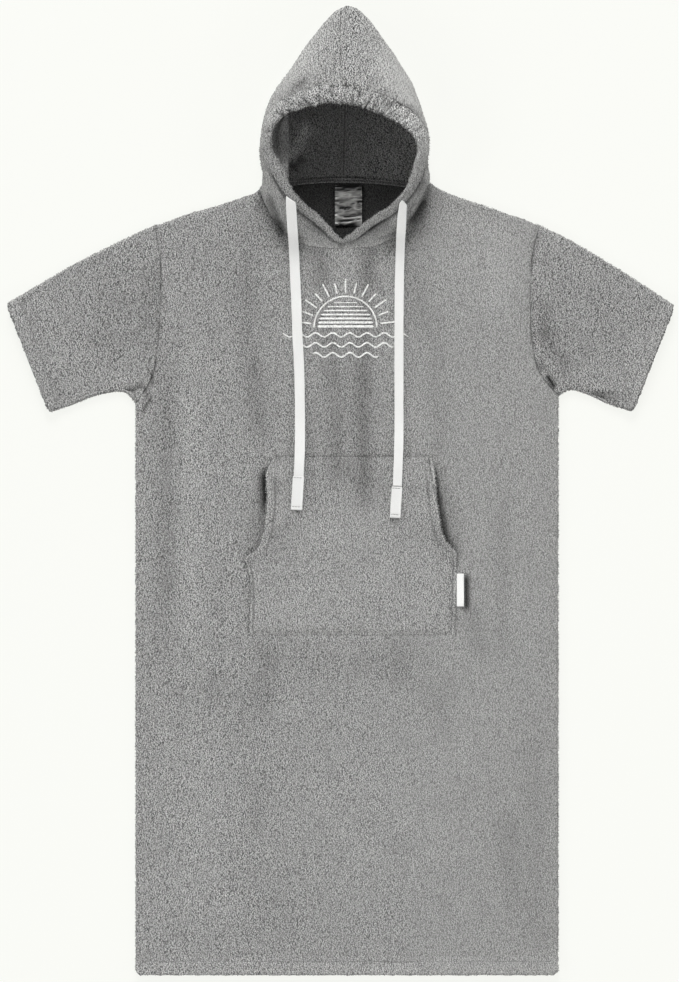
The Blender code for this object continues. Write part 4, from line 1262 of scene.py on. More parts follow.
def addSleeve(side):
    # flattened tube: upper layer, half round, lower layer and half round back
    plan, along = sleevePlan(side)
    rows, stations = plan.shape[:2]
    fromCuff = (1.0 - along) * sleeve["length"]
    fromSeam = along[:, None] * sleeve["length"]
    band = hemStep(fromCuff)
    bend = (sleeve["bend"] + sleeve["hemBend"] * band)[:, None]
    width = np.linalg.norm(plan[-1] - plan[0], axis=-1)[:, None]
    half = cloth["thickness"] / 2
    inset = (half + bend) / width
    line = shares(rows)[None, :]
    turn = np.linspace(math.pi / 2, -math.pi / 2, sleeve["edgeSteps"] + 2)[None, 1:-1]
    lowerLine = np.linspace(1.0, 0.0, rows // 2)[None, :]
    upper = inset + (1.0 - 2.0 * inset) * line
    lower = inset + (1.0 - 2.0 * inset) * lowerLine
    underarm = 1.0 - inset + bend * np.cos(turn) / width
    topFold = inset - bend * np.cos(turn) / width
    share = np.concatenate([upper, underarm, lower, topFold[:, ::-1]], axis=1)
    arc = half + bend + bend * np.sin(turn)
    height = np.concatenate([
        np.broadcast_to(half + 2.0 * bend, upper.shape), arc, np.full_like(lower, half), arc[:, ::-1],
    ], axis=1)
    place = np.clip(share, -0.2, 1.2) * (rows - 1)
    low = np.clip(np.floor(place).astype(int), 0, rows - 2)
    part = (place - low)[..., None]
    station = np.arange(stations)[:, None]
    flat = plan[low, station] * (1.0 - part) + plan[low + 1, station] * part
    seed = 21 if side == "left" else 22
    rough = np.random.default_rng(seed).normal(0.0, 0.45, flat.shape)
    rough[:, :rows][:, 2:-2] = 0.0  # only the two folded edges and the cuff
    rough[0] = 0.0
    rough[-1] = np.random.default_rng(seed + 5).normal(0.0, 0.5, rough[-1].shape)
    flat = flat + np.clip(rough, -1.0, 1.0)
    x, y = flat[:, :rows, 0], flat[:, :rows, 1]
    lift = foldHeight(x, y, sleeveFolds)
    # painted light and shade of the folds
    shade = foldHeight(x, y, sleevePaintedShading)
    lift = lift + 1.2 + undulation(x, y)
    lift = lift * eased(line * width, 0.0, 45.0) * eased((1.0 - line) * width, 0.0, 45.0)
    lift = lift * eased(along, 0.0, 0.22)[:, None] * (1.0 - 0.7 * band[:, None])
    creaseAndPaintedShade = creaseHeight(x, y, sleeveCreases)
    ease = 0.6 * bell(fromSeam, 5.0, 4.0)
    height[:, :rows] += np.maximum(0.0, lift) + creaseAndPaintedShade + ease + pile(x.shape, seed) * 0.9
    groove = hemGroove(fromCuff)[:, None]
    thickness = cloth["thickness"] + sleeve["hemExtra"] * band[:, None] - 0.7 * groove
    # painted shade along the seam, the underarm creases and the hem's stitch groove, painted light on the
    # hem's band
    shade = shade + seamShade(fromSeam, x, y) + creaseHeight(x, y, underarmShades)
    shade = shade + 0.2 * groove - 0.06 * band[:, None]
    whole = np.zeros(share.shape)
    whole[:, :rows] = shade
    points, quads, source = shell(withHeight(flat, height), thickness, wrap=True)
    points[:, 2] = np.maximum(points[:, 2], 0.0)
    piece = addPiece("sleeve_tube_" + side, "sleeve_" + side, points, quads, terry,
                     creaseAndPaintedShade=onWall(source, whole), calm=np.full(len(points), -0.18))
    face = withHeight(flat, height + thickness / 2)
    hemStation = np.argmin(np.abs(fromCuff - cloth["hemRow"]))
    return piece, face[hemStation, 1:rows - 1]


sleeves = {side: addSleeve(side) for side in sides}
print("sleeves done")

# Hood

# the hood's section at each angle seen from the middle of the face, -90 at the front's neck and
# 90 at the crown: r is the distance from that middle and z the height of the face edge on each
# side, the top of the roll, the flank's furthest point and the floor below it
hoodColumns = (
    "angle", "face_left", "face_right", "face_z", "upper_r", "upper_z", "side_r", "side_z",
    "floor_r", "floor_z",
)
hoodRows = np.array([
    (-90, 100, 100, 12, 103, 10.6, 106, 8.6, 108, 5.6),
    (-78, 84, 89, 18, 92, 16.6, 102, 12.4, 109, 7),
    (-60, 73.5, 81, 29, 85, 27, 101, 19, 113, 9),
    (-40, 74.5, 85, 40, 88, 39, 106, 28, 115, 11),
    (-20, 78, 91, 50, 93, 50, 115, 32, 118.5, 10),
    (0, 86, 97, 58, 103, 57, 117, 32, 109, 1.25),
    (18, 107.5, 106.5, 66, 118, 58, 123.3, 34, 112, 1.25),
    (36, 113, 98, 74, 127, 61, 133.8, 33, 120, 1.25),
    (54, 100.5, 90, 79, 132, 66, 151, 28, 138, 1.25),
    (72, 93, 86, 83, 140, 68, 180, 20, 168, 1.25),
    (82, 89.5, 87, 84.5, 145, 66, 203.5, 13.5, 193, 1.25),
    (86, 88.5, 87.5, 85, 147, 65, 216.5, 11.5, 205, 1.25),
    (90, 88, 88, 85, 149, 65, 223, 11, 210.5, 1.25),
], float)
hoodTable = dict(zip(hoodColumns, hoodRows.T))
hood = {
    "collarSteps": 50,
    "sideSteps": 165,
    "columns": 108,
    "ribSamples": 30,
    "casingWidth": 26.0,
    "rimWidth": 13.5,
    "casingShare": 0.6,
    "casingStations": 900,
    "gatherAngles": (26.0, 134.0),
    "gatherDepth": 4.0,
    "gatherFade": 11.0,  # mm past the stitch line where a third of the gathers' height is left
    "rolls": 21,
    "rollWidth": (0.4, 2.0),  # least and most, beside each other
    "rollHeight": (0.5, 1.15),
    "rollMargin": 18.0,  # degrees that the rolls go on past the gathers
    "ticks": 64,  # short puckers
    "tickNear": (-1.0, 15.0),  # mm from the rim to the middle of two in three of them
    "tickFar": (15.0, 29.0),  # and of the third
    "tickLength": (3.0, 8.5),
    "tickWidth": (0.8, 1.7),
    "tickSlant": (-0.35, 0.35),
    "tickDepth": (0.3, 1.0),
    "seamShift": -9.0,  # mm
    "lap": 3.4,  # mm
    # painted light and shade of one soft fold inside, and painted shade of two creases on the rim
    "innerFoldShading": [(-84, 1134, -50, 1196, 6, -1.6), (-80, 1128, -60, 1148, 6, 0.9)],
    "rimCreaseShade": [(-117, 1178, -104, 1181, 1.2, 1), (-118, 1181, -108, 1186, 1, 0.6)],
}
# how much further out than the table the flank stands on each side: angle, mm
flankEdits = {
    "left": [
        (-90, 0), (-40, 0), (-30, -1), (-20, -3), (-12, -6), (-7, -6), (0, -3.6), (8, -1.8), (20, -1.6),
        (30, 0), (40, 1.0), (48, 0.3), (55, -2.2), (60, -4.2), (65, -3.9), (71, -2.1), (78, 0), (81, 1.5),
        (85, 0), (90, 0),
    ],
    "right": [
        (-90, 0), (-40, 0), (-24, 0), (-14, 5.5), (-8, 4.4), (0, 0), (4, -1.6), (12, 0), (27, -0.3),
        (33, -2), (38, -1.9), (45, -1.4), (52, -0.3), (61, -1.4), (66, -0.8), (74, 0.2), (78, 2.0),
        (81, 3.8), (84, 2.4), (88, 1.0), (90, 0),
    ],
}
# soft folds of the hood's outside: from (x, y) to (x, y), half width, height along the normal
hoodFolds = [
    (100, 1165, 60, 1290, 9, 1.6), (78, 1240, 30, 1330, 9, -1.4), (44, 1258, 106, 1200, 6, 2.4),
    (30, 1270, 100, 1215, 5, -1.8), (-96, 1215, -60, 1280, 12, 2), (-70, 1216, -38, 1262, 9, -2.2),
    (-40, 1246, -20, 1300, 12, 1.4), (-92, 1235, -50, 1300, 6, -1.2), (16, 1240, 26, 1300, 10, -1.2),
]
# its painted light and shade: half width and strength in place of the height
hoodPaintedShading = [
    (-74, 1240, -57, 1251, 4, 0.45), (40, 1257, 104, 1204, 5, -0.16), (-86, 1225, -52, 1252, 6, 0.12),
    (-50, 1296, -78, 1262, 8, -0.1), (46, 1292, 90, 1216, 15, -0.26), (44, 1304, 62, 1276, 6, 0.08),
    (-20, 1300, -30, 1262, 9, 0.1), (20, 1290, 26, 1250, 9, 0.12), (0, 1225, 0, 1325, 45, -0.09),
]
# creases of its collar, between the drawstrings and the shoulders
collarCreases = [
    (-113, 1102, -86, 1038, 3.6, -3.4), (-104, 1094, -92, 1050, 4, 1.5), (-80, 1052, -40, 1031, 2.2, -1.4),
    (116, 1112, 84, 1042, 4.6, -3.6), (104, 1098, 90, 1060, 4, 1.8), (92, 1106, 70, 1062, 3, -1.6),
    (76, 1048, 34, 1030, 2.2, -1.3),
]


def hoodColumn(name, angles):
    # the table's column at any angles
    return tableValue(angles, hoodTable["angle"], hoodTable[name])


def flankRadius(side, angles):
    # the flank's distance from the middle of the face, with that side's own steps in and out
    return hoodColumn("side_r", angles) + tableValue(angles, *np.array(flankEdits[side], float).T)


def hoodRibs(side, angles):
    # ribs of the hood's middle surface seen from the middle of the face: each runs from the
    # face edge over the upper point and the flank down to the floor and in to the neck seam
    angles = np.asarray(angles, float)
    half = cloth["thickness"] / 2

    def point(radius, height):
        # at these angles round the middle of the face
        plan = faceCircle(angles, radius[:, None])[:, :2] + (0.0, faceMiddle)
        return withHeight(plan, height)

    def column(name):
        # the table's column at these angles
        return hoodColumn(name, angles)

    face = point(column("face_" + side), column("face_z"))
    upper = point(column("upper_r"), column("upper_z"))
    flank = point(flankRadius(side, angles), column("side_z"))
    floor = point(column("floor_r"), np.maximum(half, column("floor_z")))
    collar = np.minimum(angles, neckAngle)
    neck = np.array(neckCurve).T
    frontSeam = point(tableValue(collar, *neck) - half, 4.05 - 0.4 * eased(angles, -22.0, neckAngle))
    share = np.clip((angles - neckAngle) / (90.0 - neckAngle), 0.0, 1.0)
    corner = tableValue(neckAngle, *neck) - half
    x = corner * math.cos(math.radians(neckAngle)) * (1.0 - share)
    y = backNeckY(x + lean(body["neckPoint"][1])) + 1.7 - 1.6 * eased(angles, neckAngle, neckAngle + 30.0)
    backSeam = together(x, y, np.full(len(x), half))
    backSeam[:, 2] += (frontSeam[:, 2] - half) * faded(angles, neckAngle + 2.0, neckAngle + 14.0)
    seam = np.where((angles > neckAngle)[:, None], backSeam, frontSeam)
    ribs = smoothPath(np.stack([face, upper, flank, floor, seam]), hood["ribSamples"])
    ribs[..., 2] = np.maximum(ribs[..., 2], half)
    return np.transpose(ribs, (1, 0, 2))


def onRibs(ribs, distances):
    # points at distances from the face edge, a row of them for each rib: the ribs' lengths are
    # set one after another, 1000 mm apart, so that one interpolation reads them all
    along = lengthsAlong(ribs)
    start = 1000.0 * np.arange(len(ribs))[:, None]
    wanted = (np.minimum(distances, along[:, -1:]) + start).ravel()
    flat = (along + start).ravel()
    read = [np.interp(wanted, flat, ribs[..., k].ravel()).reshape(distances.shape) for k in range(3)]
    return np.stack(read, axis=-1)


def faceCircle(angles, radius=95.0):
    # radius * (cosine, sine)
    turn = np.radians(angles)
    return together(np.cos(turn), np.sin(turn), np.zeros_like(turn)) * radius


def gatherStrength(angles):
    # 1 over the top of the face, where the cord draws the edge up, and 0 at its sides
    low, high = hood["gatherAngles"]
    return between(angles, low - 18.0, low + 10.0, high - 8.0, high + 18.0)


def casingWidth(lengths, angles):
    # the stitch line wanders a little where the cloth is drawn up
    wander = layered(faceCircle(angles), (1.5, 11.0, 45), (0.9, 4.5, 46))
    rim, whole = hood["rimWidth"], hood["casingWidth"]
    wide = rim + (whole - rim) * eased(np.sin(np.radians(angles)), -0.5, 0.45)
    width = np.minimum(wide, hood["casingShare"] * lengths[:, -1])
    return width + wander * gatherStrength(angles)


def gatherRolls(angles):
    # uneven rolls side by side: a half sine over each to the power of 0.7, with its own height
    low, high = hood["gatherAngles"]
    generator = np.random.default_rng(5)
    widths = generator.uniform(*hood["rollWidth"], hood["rolls"])
    edges = np.concatenate([[0.0], np.cumsum(widths)])
    margin = hood["rollMargin"]
    edges = low - margin + (high - low + 2 * margin) * edges / edges[-1]
    heights = generator.uniform(*hood["rollHeight"], hood["rolls"])
    roll = np.clip(np.searchsorted(edges, angles, side="right") - 1, 0, hood["rolls"] - 1)
    part = np.clip((angles - edges[roll]) / (edges[roll + 1] - edges[roll]), 0.0, 1.0)
    strength = gatherStrength(angles) * (0.5 + 0.5 * eased(angles, 52.0, 72.0))
    return strength * heights[roll] * (np.sin(math.pi * part) ** 0.7 - 0.62)


def gatherTicks(angles, distances):
    # short creases across the casing, each with its own place, length, width, slant and depth:
    # depth * exp(-(beside / width)^2 - (along / length)^4)
    low, high = hood["gatherAngles"]
    generator = np.random.default_rng(12)
    count = hood["ticks"]
    order = np.arange(count)
    at = low - 8.0 + (high - low + 20.0) * (order + generator.uniform(-0.8, 0.8, count)) / count
    far = generator.uniform(*hood["tickFar"], count)
    near = generator.uniform(*hood["tickNear"], count)
    middle = np.where(order % 3 == 0, far, near)
    length = generator.uniform(*hood["tickLength"], count)
    width = generator.uniform(*hood["tickWidth"], count)
    slant = generator.uniform(*hood["tickSlant"], count)
    # deeper over the top and on the left, but shallow on the outer half at the far left
    depth = generator.uniform(*hood["tickDepth"], count) * np.where(at > 62.0, 1.6, 0.6)
    depth = depth * np.where((middle > 14.0) & (at > 112.0), 0.3, 1.0)
    total = np.zeros(np.broadcast_shapes(angles.shape, distances.shape))
    for k in range(count):
        along = distances - middle[k]
        beside = (angles - at[k]) * 1.75 - slant[k] * along
        total += depth[k] * np.exp(-(beside / width[k]) ** 2 - (along / length[k]) ** 4)
    return np.minimum(total, 1.3)


def placedHood(points, sign):
    # the crown's seam lies 9 mm beside the middle; the shift fades out towards both flanks
    moved = np.array(points)
    x, y, z = (moved[..., k] for k in range(3))
    wide = np.clip(8.0 + 0.85 * (1353.0 - y), 8.0, 60.0)
    fade = np.clip(1.0 - (x / wide) ** 2, 0.0, 1.0) ** 2
    aside = hood["seamShift"] * between(y, 1205.0, 1300.0, 1346.0, 1356.0) * fade
    aside = aside * eased(z, 9.0, 20.0)
    moved[..., 0] = lean(y) + sign * x + aside
    return moved


def lapped(grid, angles, toSeam):
    # at the front the hood's foot runs a little out over the body and sinks into its pile, so
    # that the seam hardly shows
    share = np.clip(1.0 - toSeam / 7.0, 0.0, 1.0) * faded(angles, -34.0, -22.0)[:, None]
    out = unit(grid[..., :2] - (0.0, faceMiddle))
    grid = np.array(grid)
    grid[..., :2] += out * (hood["lap"] * share**2)[..., None]
    grid[..., 2] += 0.5 * share - 1.5 * eased(share, 0.45, 1.0)
    return grid


def hoodCalm(x, y):
    # the loops stand apart over the crown and lie smoother down both flanks and on the collar
    crown = 0.45 * bell(x, 0.0, 46.0) * eased(y, 1180.0, 1230.0)
    flanks = (0.32 * eased(x, 40.0, 84.0) + 0.1 * eased(-x, 40.0, 84.0)) * eased(y, 1150.0, 1200.0)
    return flanks - crown + 0.2 * faded(y, 1120.0, 1180.0)


def stitchShade(angles):
    # painted shade along the casing's line of stitches: deep on the right, broken over the top and on the
    # left
    broken = np.clip(0.35 + 1.2 * softNoise(faceCircle(angles), 4.0, 47), 0.0, 1.0)
    right = between(angles, 18.0, 32.0, 58.0, 76.0)
    return np.maximum(gatherStrength(angles + 6.0) * broken * 0.75, right * (0.7 + 0.25 * broken))


def footShade(angles):
    # painted shade along the casing's foot on the face's lower half, fading out at the front's middle
    return faded(angles, -14.0, 6.0) * (0.15 + 0.85 * eased(angles, -86.0, -68.0))


def addHoodHalf(side):
    # wall round the ribs from under the casing to the neck seam: gathers, folds, creases and
    # noise move its middle surface along the normal
    sign = sides[side]["sign"]
    angles = np.concatenate([
        np.linspace(-90.0, neckAngle, hood["collarSteps"] + 1),
        np.linspace(neckAngle, 90.0, hood["sideSteps"] + 1)[1:],
    ])
    around = angles if side == "right" else 180.0 - angles
    ribs = hoodRibs(side, angles)
    lengths = lengthsAlong(ribs)
    start = casingWidth(lengths, around) - 1.4
    share = shares(hood["columns"])[None, :] ** 1.25
    distances = start[:, None] + (lengths[:, -1:] - start[:, None]) * share
    past = distances - start[:, None]
    toSeam = lengths[:, -1:] - distances
    grid = lapped(onRibs(ribs, distances), angles, toSeam)
    normal = unit(np.cross(np.gradient(grid, axis=1), np.gradient(grid, axis=0)))
    normal[[0, -1], :, 0] = 0.0
    normal = unit(normal)
    # gathers run on past the stitch line and fade
    rolls = gatherRolls(around)[:, None]
    ticks = gatherTicks(around[:, None], distances)
    relief = rolls * hood["gatherDepth"] * 0.8 * np.exp(-past / hood["gatherFade"]) - 1.1 * ticks
    placed = placedHood(grid, sign)
    x, y = placed[..., 0], placed[..., 1]
    up = np.clip(normal[..., 2], 0.0, 1.0)
    folds = foldHeight(x, y, hoodFolds) * (y > 1180.0)
    low = (y < 1125.0) * eased(past, 1.0, 8.0) * eased(toSeam, 0.0, 6.0)
    collar = creaseHeight(x, y, collarCreases) * low
    soft = layered(placed, (0.8, 34.0, 31), (0.5, 15.0, 32))
    fade = eased(past, 0.0, 14.0) * eased(toSeam, 0.0, 20.0)
    middleSeam = eased(np.abs(x - lean(y)), 0.0, 12.0)
    relief = relief + fade * middleSeam * (folds * up + soft) + collar
    relief = relief + pile(relief.shape, 33 if side == "left" else 34) * eased(grid[..., 2], 2.0, 6.0)
    grid = grid + normal * relief[..., None]
    grid[..., 2] = np.maximum(grid[..., 2], cloth["thickness"] / 2)
    grid[..., 0] = np.maximum(grid[..., 0], -0.2)
    # painted shade: creases of the gathers, the broken stitch line, the rim's foot, the middle seam
    line = stitchShade(around)[:, None] * bell(past, 0.6, 1.9)
    foot = footShade(angles)[:, None] * bell(past, 1.0, 3.2)
    seam = 0.15 * bell(x - lean(y), 0.0, 1.2) * (0.4 + 0.6 * eased(y, 1290.0, 1310.0))
    # painted light and shade in the folds, lighter low on the collar
    foldShade = foldHeight(x, y, hoodPaintedShading) * eased(up, 0.0, 0.4) - 0.24 * low
    # painted light low at the front's middle
    outer = -0.34 * bell(angles[:, None], -90.0, 15.0) * (toSeam < 30.0)
    outer = outer + 0.95 * line + 0.85 * ticks + 0.9 * foot + seam + foldShade
    outer = outer + baseShade(x, y) * (toSeam < 60.0)
    # painted light and shade inside: lighter where the right flank catches the light, darker at the top, a
    # fold on the left
    flank = eased(x, 20.0, 70.0) * faded(y, 1200.0, 1230.0)
    inner = -0.12 * flank + 0.3 * eased(y, 1185.0, 1222.0)
    inner = inner + creaseHeight(x, y, hood["innerFoldShading"])
    points, quads, source = shell(grid, cloth["thickness"], normal=normal)
    points[:, 0] = np.maximum(points[:, 0], -0.25)
    points[:, 2] = np.maximum(points[:, 2], 0.0)
    points = placedHood(points, sign)
    quads = turnedOut(points, quads)
    count = (grid.shape[0] - 1) * (grid.shape[1] - 1)
    shade = onWall(source, outer, inner)
    smooth = onWall(source, hoodCalm(x, y), -0.2 - 0.3 * eased(x, 0.0, 50.0))
    return addPiece("hood_half_" + side, "hood_" + side, points, quads, [terry, terryInPaintedShade],
                    inside=slice(count, 2 * count), creaseAndPaintedShade=shade, calm=smooth)


def casingMiddle(folded, right, distances):
    # points on the ribs of both halves, and the ribs' lengths; folded is the angle on its half
    ribs = np.where(right[:, None, None], hoodRibs("right", folded), hoodRibs("left", folded))
    return onRibs(ribs, distances), lengthsAlong(ribs)


def addCasing():
    # the hood's edge turned in over its cord: a drop-shaped section carried round the face,
    # raised by the rolls of the gathers, with an uneven edge
    angles = np.linspace(-90.0, 270.0, hood["casingStations"])
    right = angles <= 90.0
    folded = np.where(right, angles, 180.0 - angles)
    lengths = casingMiddle(folded, right, np.zeros((len(folded), 1)))[1]
    width = casingWidth(lengths, angles)
    section = evenly(smoothPath([
        (0.0, 0.0), (0.4, 1.4), (1.8, 2.5), (4.5, 3.2), (8.0, 3.3), (13.0, 3.0), (18.0, 2.5), (22.5, 1.9),
        (25.2, 1.6), (26.0, 0.9),
    ], 8), 21)
    across = section[:, 0] / section[-1, 0]
    distances = across[None, :] * width[:, None]
    near = casingMiddle(np.clip(folded - 0.4, -90.0, 90.0), right, distances)[0]
    far = casingMiddle(np.clip(folded + 0.4, -90.0, 90.0), right, distances)[0]
    middle = casingMiddle(folded, right, distances)[0]
    outwards = unit(np.gradient(middle, axis=1))
    normal = unit(np.cross(np.gradient(middle, axis=1), far - near))
    rolls = gatherRolls(angles)[:, None]
    ticks = gatherTicks(angles[:, None], distances)
    slim = np.clip(width / hood["casingWidth"], 0.42, 1.0)
    circle = faceCircle(angles)
    ragged = layered(circle, (1.6, 7.0, 41), (1.5, 3.0, 42))
    ragged = ragged * (0.45 + 0.55 * gatherStrength(angles)) - 2.0 * rolls[:, 0] + 1.6 * ticks[:, 0]
    atEdge = 1.0 - eased(across, 0.0, 0.45)
    middle = middle + outwards * (ragged[:, None] * atEdge)[..., None]
    lumps = 1.3 * softNoise(middle, 8.0, 49) * gatherStrength(angles)[:, None]
    lift = rolls * (1.0 - 0.35 * across) * hood["gatherDepth"] + lumps - 1.2 * ticks
    middle = middle + normal * lift[..., None]
    bulge = 1.0 + 0.2 * softNoise(circle, 22.0, 43)[:, None]
    half = (section[:, 1][None, :] * slim[:, None] * bulge)[..., None]
    outer = middle + normal * (half + pile(half.shape, 44, 0.3))
    inner = (middle - normal * half)[:, -2:0:-1]
    loops = np.concatenate([outer, inner], axis=1)
    loops[..., 0] *= np.where(right, 1.0, -1.0)[:, None]
    loops[0, :, 0] = -0.2
    loops[-1, :, 0] = 0.2
    loops[..., 0] += lean(loops[..., 1])
    loops[..., 2] = np.maximum(loops[..., 2], 2.8)
    # painted shade: in the creases, which fade in and out along their length, and along the stitch line,
    # which is broken
    line = stitchShade(angles)[:, None] * eased(across, 0.93, 1.0)[None, :]
    # painted shade at the rim's edge, more where it puckers
    under = bell(across, 0.0, 0.05)[None, :] * (0.25 + 0.3 * ticks[:, :1])
    foot = footShade(folded)[:, None] * eased(across, 0.86, 1.0)[None, :]
    # painted light across the casing's lower sides, on its right and at the front's middle
    light = 0.22 * faded(folded, -14.0, 10.0)[:, None] * bell(across, 0.35, 0.25)[None, :]
    light = light + 0.42 * between(angles, -4.0, 12.0, 34.0, 60.0)[:, None]
    light = light + 0.14 * bell(folded[:, None], -90.0, 15.0)
    shade = 0.85 * ticks + 0.9 * line + 0.7 * foot - light + under
    # painted light, most on the lumps
    lumpHighlight = layered(middle, (1.0, 8.0, 49), (0.7, 3.5, 50))
    shade = shade - (0.3 * lumpHighlight + 0.2) * (0.3 + 0.7 * gatherStrength(angles))[:, None]
    face = loops[:, :len(section)]
    shade = shade + 0.5 * creaseHeight(face[..., 0], face[..., 1], hood["rimCreaseShade"])
    # painted shade: the casing's inner side is darker
    whole = np.full(loops.shape[:2], 0.55)
    whole[:, :len(section)] = shade
    points, faces = closedTubes(loops[None])
    top = gatherStrength(angles)[:, None]
    smooth = np.broadcast_to(0.12 * right[:, None] - 0.5 * top, whole.shape)
    piece = addPiece("hood_edge_casing", "hood_casing", points, faces, terry, creaseAndPaintedShade=whole,
                     calm=smooth)
    return piece, face, angles


hoodPieces = {side: addHoodHalf(side) for side in sides}
casing, casingOuter, casingAngles = addCasing()

facing = {
    "freeX": -81.0,
    "top": 1203.0,
    "bottom": 1098.0,
    "drop": 20.0,
    "thickness": 1.8,
    "tapeWidth": 6.6,
    "tapeThickness": 0.9,
    "tapePoints": 120,
}


def addFacing():
    # the left edge's turned-in cloth, seen inside the opening: from the rim it falls in a
    # quarter sine to a straight free edge
    left = casingAngles > 90.0
    rim = casingOuter[left, 0]
    order = np.argsort(rim[:, 1])
    y = np.linspace(facing["bottom"], facing["top"], 90)
    edge = np.stack([np.interp(y, rim[order, 1], rim[order, k]) for k in (0, 2)], axis=1)
    u = shares(34)[None, :]
    freeX = facing["freeX"] + 0.8 * np.sin(y / 13.0)[:, None]
    rimX = np.minimum(edge[:, :1] - 2.0, freeX - 3.0)
    x = rimX + (freeX - rimX) * u
    reach = np.clip((freeX - rimX) / 24.0, 0.1, 1.0)
    z = edge[:, 1:] - 3.0 - facing["drop"] * reach * np.sin(0.5 * math.pi * u)
    grid = together(x, np.broadcast_to(y[:, None], x.shape), z)
    z += layered(grid, (0.9, 14.0, 55), (0.5, 6.0, 56))
    grid[..., 2] = z + pile(z.shape, 57, 0.15)
    # painted shade: the strip is dark, most in a band down its fall, at the rim and towards the top
    dark = bell(u, 0.32, 0.2) * eased(y, 1125.0, 1150.0)[:, None]
    shade = 0.62 + 0.5 * dark + 0.5 * bell(u, 0.0, 0.12) + 0.2 * eased(y, 1170.0, 1203.0)[:, None]
    points, quads, source = shell(grid, facing["thickness"], lipSteps=3)
    return addPiece("hood_facing", None, points, quads, terry, creaseAndPaintedShade=onWall(source, shade))


def addSeamTape(name, x, y, z):
    # strip along a seam inside: twill tape pressed flat, stitched along both its edges
    path = together(x, y, z)
    ahead = unit(np.gradient(path, axis=0))
    side = unit(np.cross((0.0, 0.0, 1.0), ahead))
    across = np.linspace(-0.5, 0.5, 9)
    grid = path[:, None] + side[:, None] * (across * facing["tapeWidth"])[None, :, None]
    ridge = 0.5 * bell(np.abs(across), 0.42, 0.07)
    grid[..., 2] += ridge[None, :] + pile(grid.shape[:2], 58, 0.08)
    # painted light on the raised lines near both edges and painted shade along the middle
    shade = np.broadcast_to(0.1 - 1.1 * ridge + 0.5 * (np.abs(across) < 0.2), grid.shape[:2])
    points, quads, source = shell(grid, facing["tapeThickness"], lipSteps=2)
    return addPiece(name, None, points, quads, terryInPaintedShade, creaseAndPaintedShade=onWall(source, shade))


facingPiece = addFacing()
seamY = np.linspace(1113.0, 1334.0, facing["tapePoints"])
seamTape = addSeamTape("hood_seam_tape", lean(seamY), seamY, np.full_like(seamY, 3.3))
neckX = np.linspace(-98.0, 92.0, facing["tapePoints"])
neckTape = addSeamTape("neck_tape", neckX, backNeckY(neckX) + 0.6, np.full_like(neckX, 3.2))
print("hood done")

# Pocket


def addPocket():
    # sewn down all round and open at its mouths, where its hem stands off the front
    left, right = pocketSides(pocket["rows"])
    across, up = (shares(pocket[name]) for name in ("columns", "rows"))
    bottom = np.linspace(left[0], right[0], len(across))
    top = np.linspace(left[-1], right[-1], len(across))
    plan = patch(bottom, top, left, right, across, up)
    x, y = plan[..., 0], plan[..., 1]
    foot, head = y.min(), y.max()
    low, high = pocket["mouth"]
    span = between(y, low - 26.0, low + 20.0, high - 34.0, high + 6.0)
    aside = np.minimum(x - left[:, None, 0], right[:, None, 0] - x)
    ends = np.minimum(y - foot, head - y)
    gape = pocket["gape"] * span * faded(aside, 0.0, 70.0) * (1.0 + 0.3 * np.sin(y / 11.0))
    sewn = eased(np.minimum(aside, ends) + 30.0 * span, 0.0, 9.0)
    hem = span * faded(aside, pocket["hem"] - 1.0, pocket["hem"] + 2.0)
    mouthRow = span * bell(aside - pocket["hem"], 0.0, 1.2)
    leftHalf = np.arange(len(across))[None, :] < len(across) // 2
    rowIn = np.where(leftHalf, pocket["rowsIn"]["left"], pocket["rowsIn"]["right"])
    sideRow = (1.0 - span) * bell(aside - rowIn, 0.0, 1.2)
    endRow = bell(head - y, pocket["topRow"], 1.2)
    pressed = 1.0 - 0.6 * (1.0 - span) * faded(np.minimum(aside, ends), 0.0, 8.0)
    full = (cloth["thickness"] + 1.1 * hem) * pressed
    thickness = full - 0.75 * (mouthRow + sideRow) * pressed - 0.25 * endRow
    soft = layered(flatPlace(x, y), (0.6, 40.0, 51), (0.4, 16.0, 52))
    fade = eased(np.minimum(aside, ends), 0.0, 16.0)
    sunk = 0.65 * faded(y - foot, 0.0, 9.0)  # the foot's edge is pressed into the pile
    stand = 0.05 + pocket["clear"] * sewn + gape - sunk
    height = frontTop(x, y) + stand + full / 2 + (0.8 + soft) * fade
    # painted shade: the body's folds at the top, the rows of stitches, painted light along the edges
    upper = eased(y, 625.0, 665.0)
    shade = foldHeight(x, y, frontPaintedShading) * upper - 0.08 * (1.0 - upper) - 0.05 * soft
    shade = shade + 0.55 * mouthRow + 0.6 * sideRow + 0.06 * endRow
    shade = shade - 0.4 * bell(np.minimum(aside, (y - foot) * 0.8), 0.8, 1.7)
    shade = shade - 0.22 * bell(y - foot, 5.5, 2.4)
    # painted shade on the half round of its edges, painted light at its foot
    lip = np.where(aside < 0.5, 0.9, 0.5) * (y > foot + 4.0) - 0.2 * (y < foot + 4.0)
    plan = roughEdge(plan, 50, 0.45)
    points, quads, source = shell(withHeight(plan, height + pile(x.shape, 53)), thickness)
    creaseAndPaintedShade = onWall(source, shade, lip=lip)
    piece = addPiece("pocket_panel", "pocket", points, quads, terry, creaseAndPaintedShade=creaseAndPaintedShade)
    return piece, withHeight(plan, height + thickness / 2)


pocketPiece, pocketFace = addPocket()
print("pocket done")

# Labels

labels = {
    "neck": {"x": (-17.0, 21.0), "y": (1049.0, 1106.0), "thickness": 0.5, "crumple": 2.1},
    "side": {"x": (153.6, 163.6), "y": (516.0, 562.0), "thickness": 0.9},
}


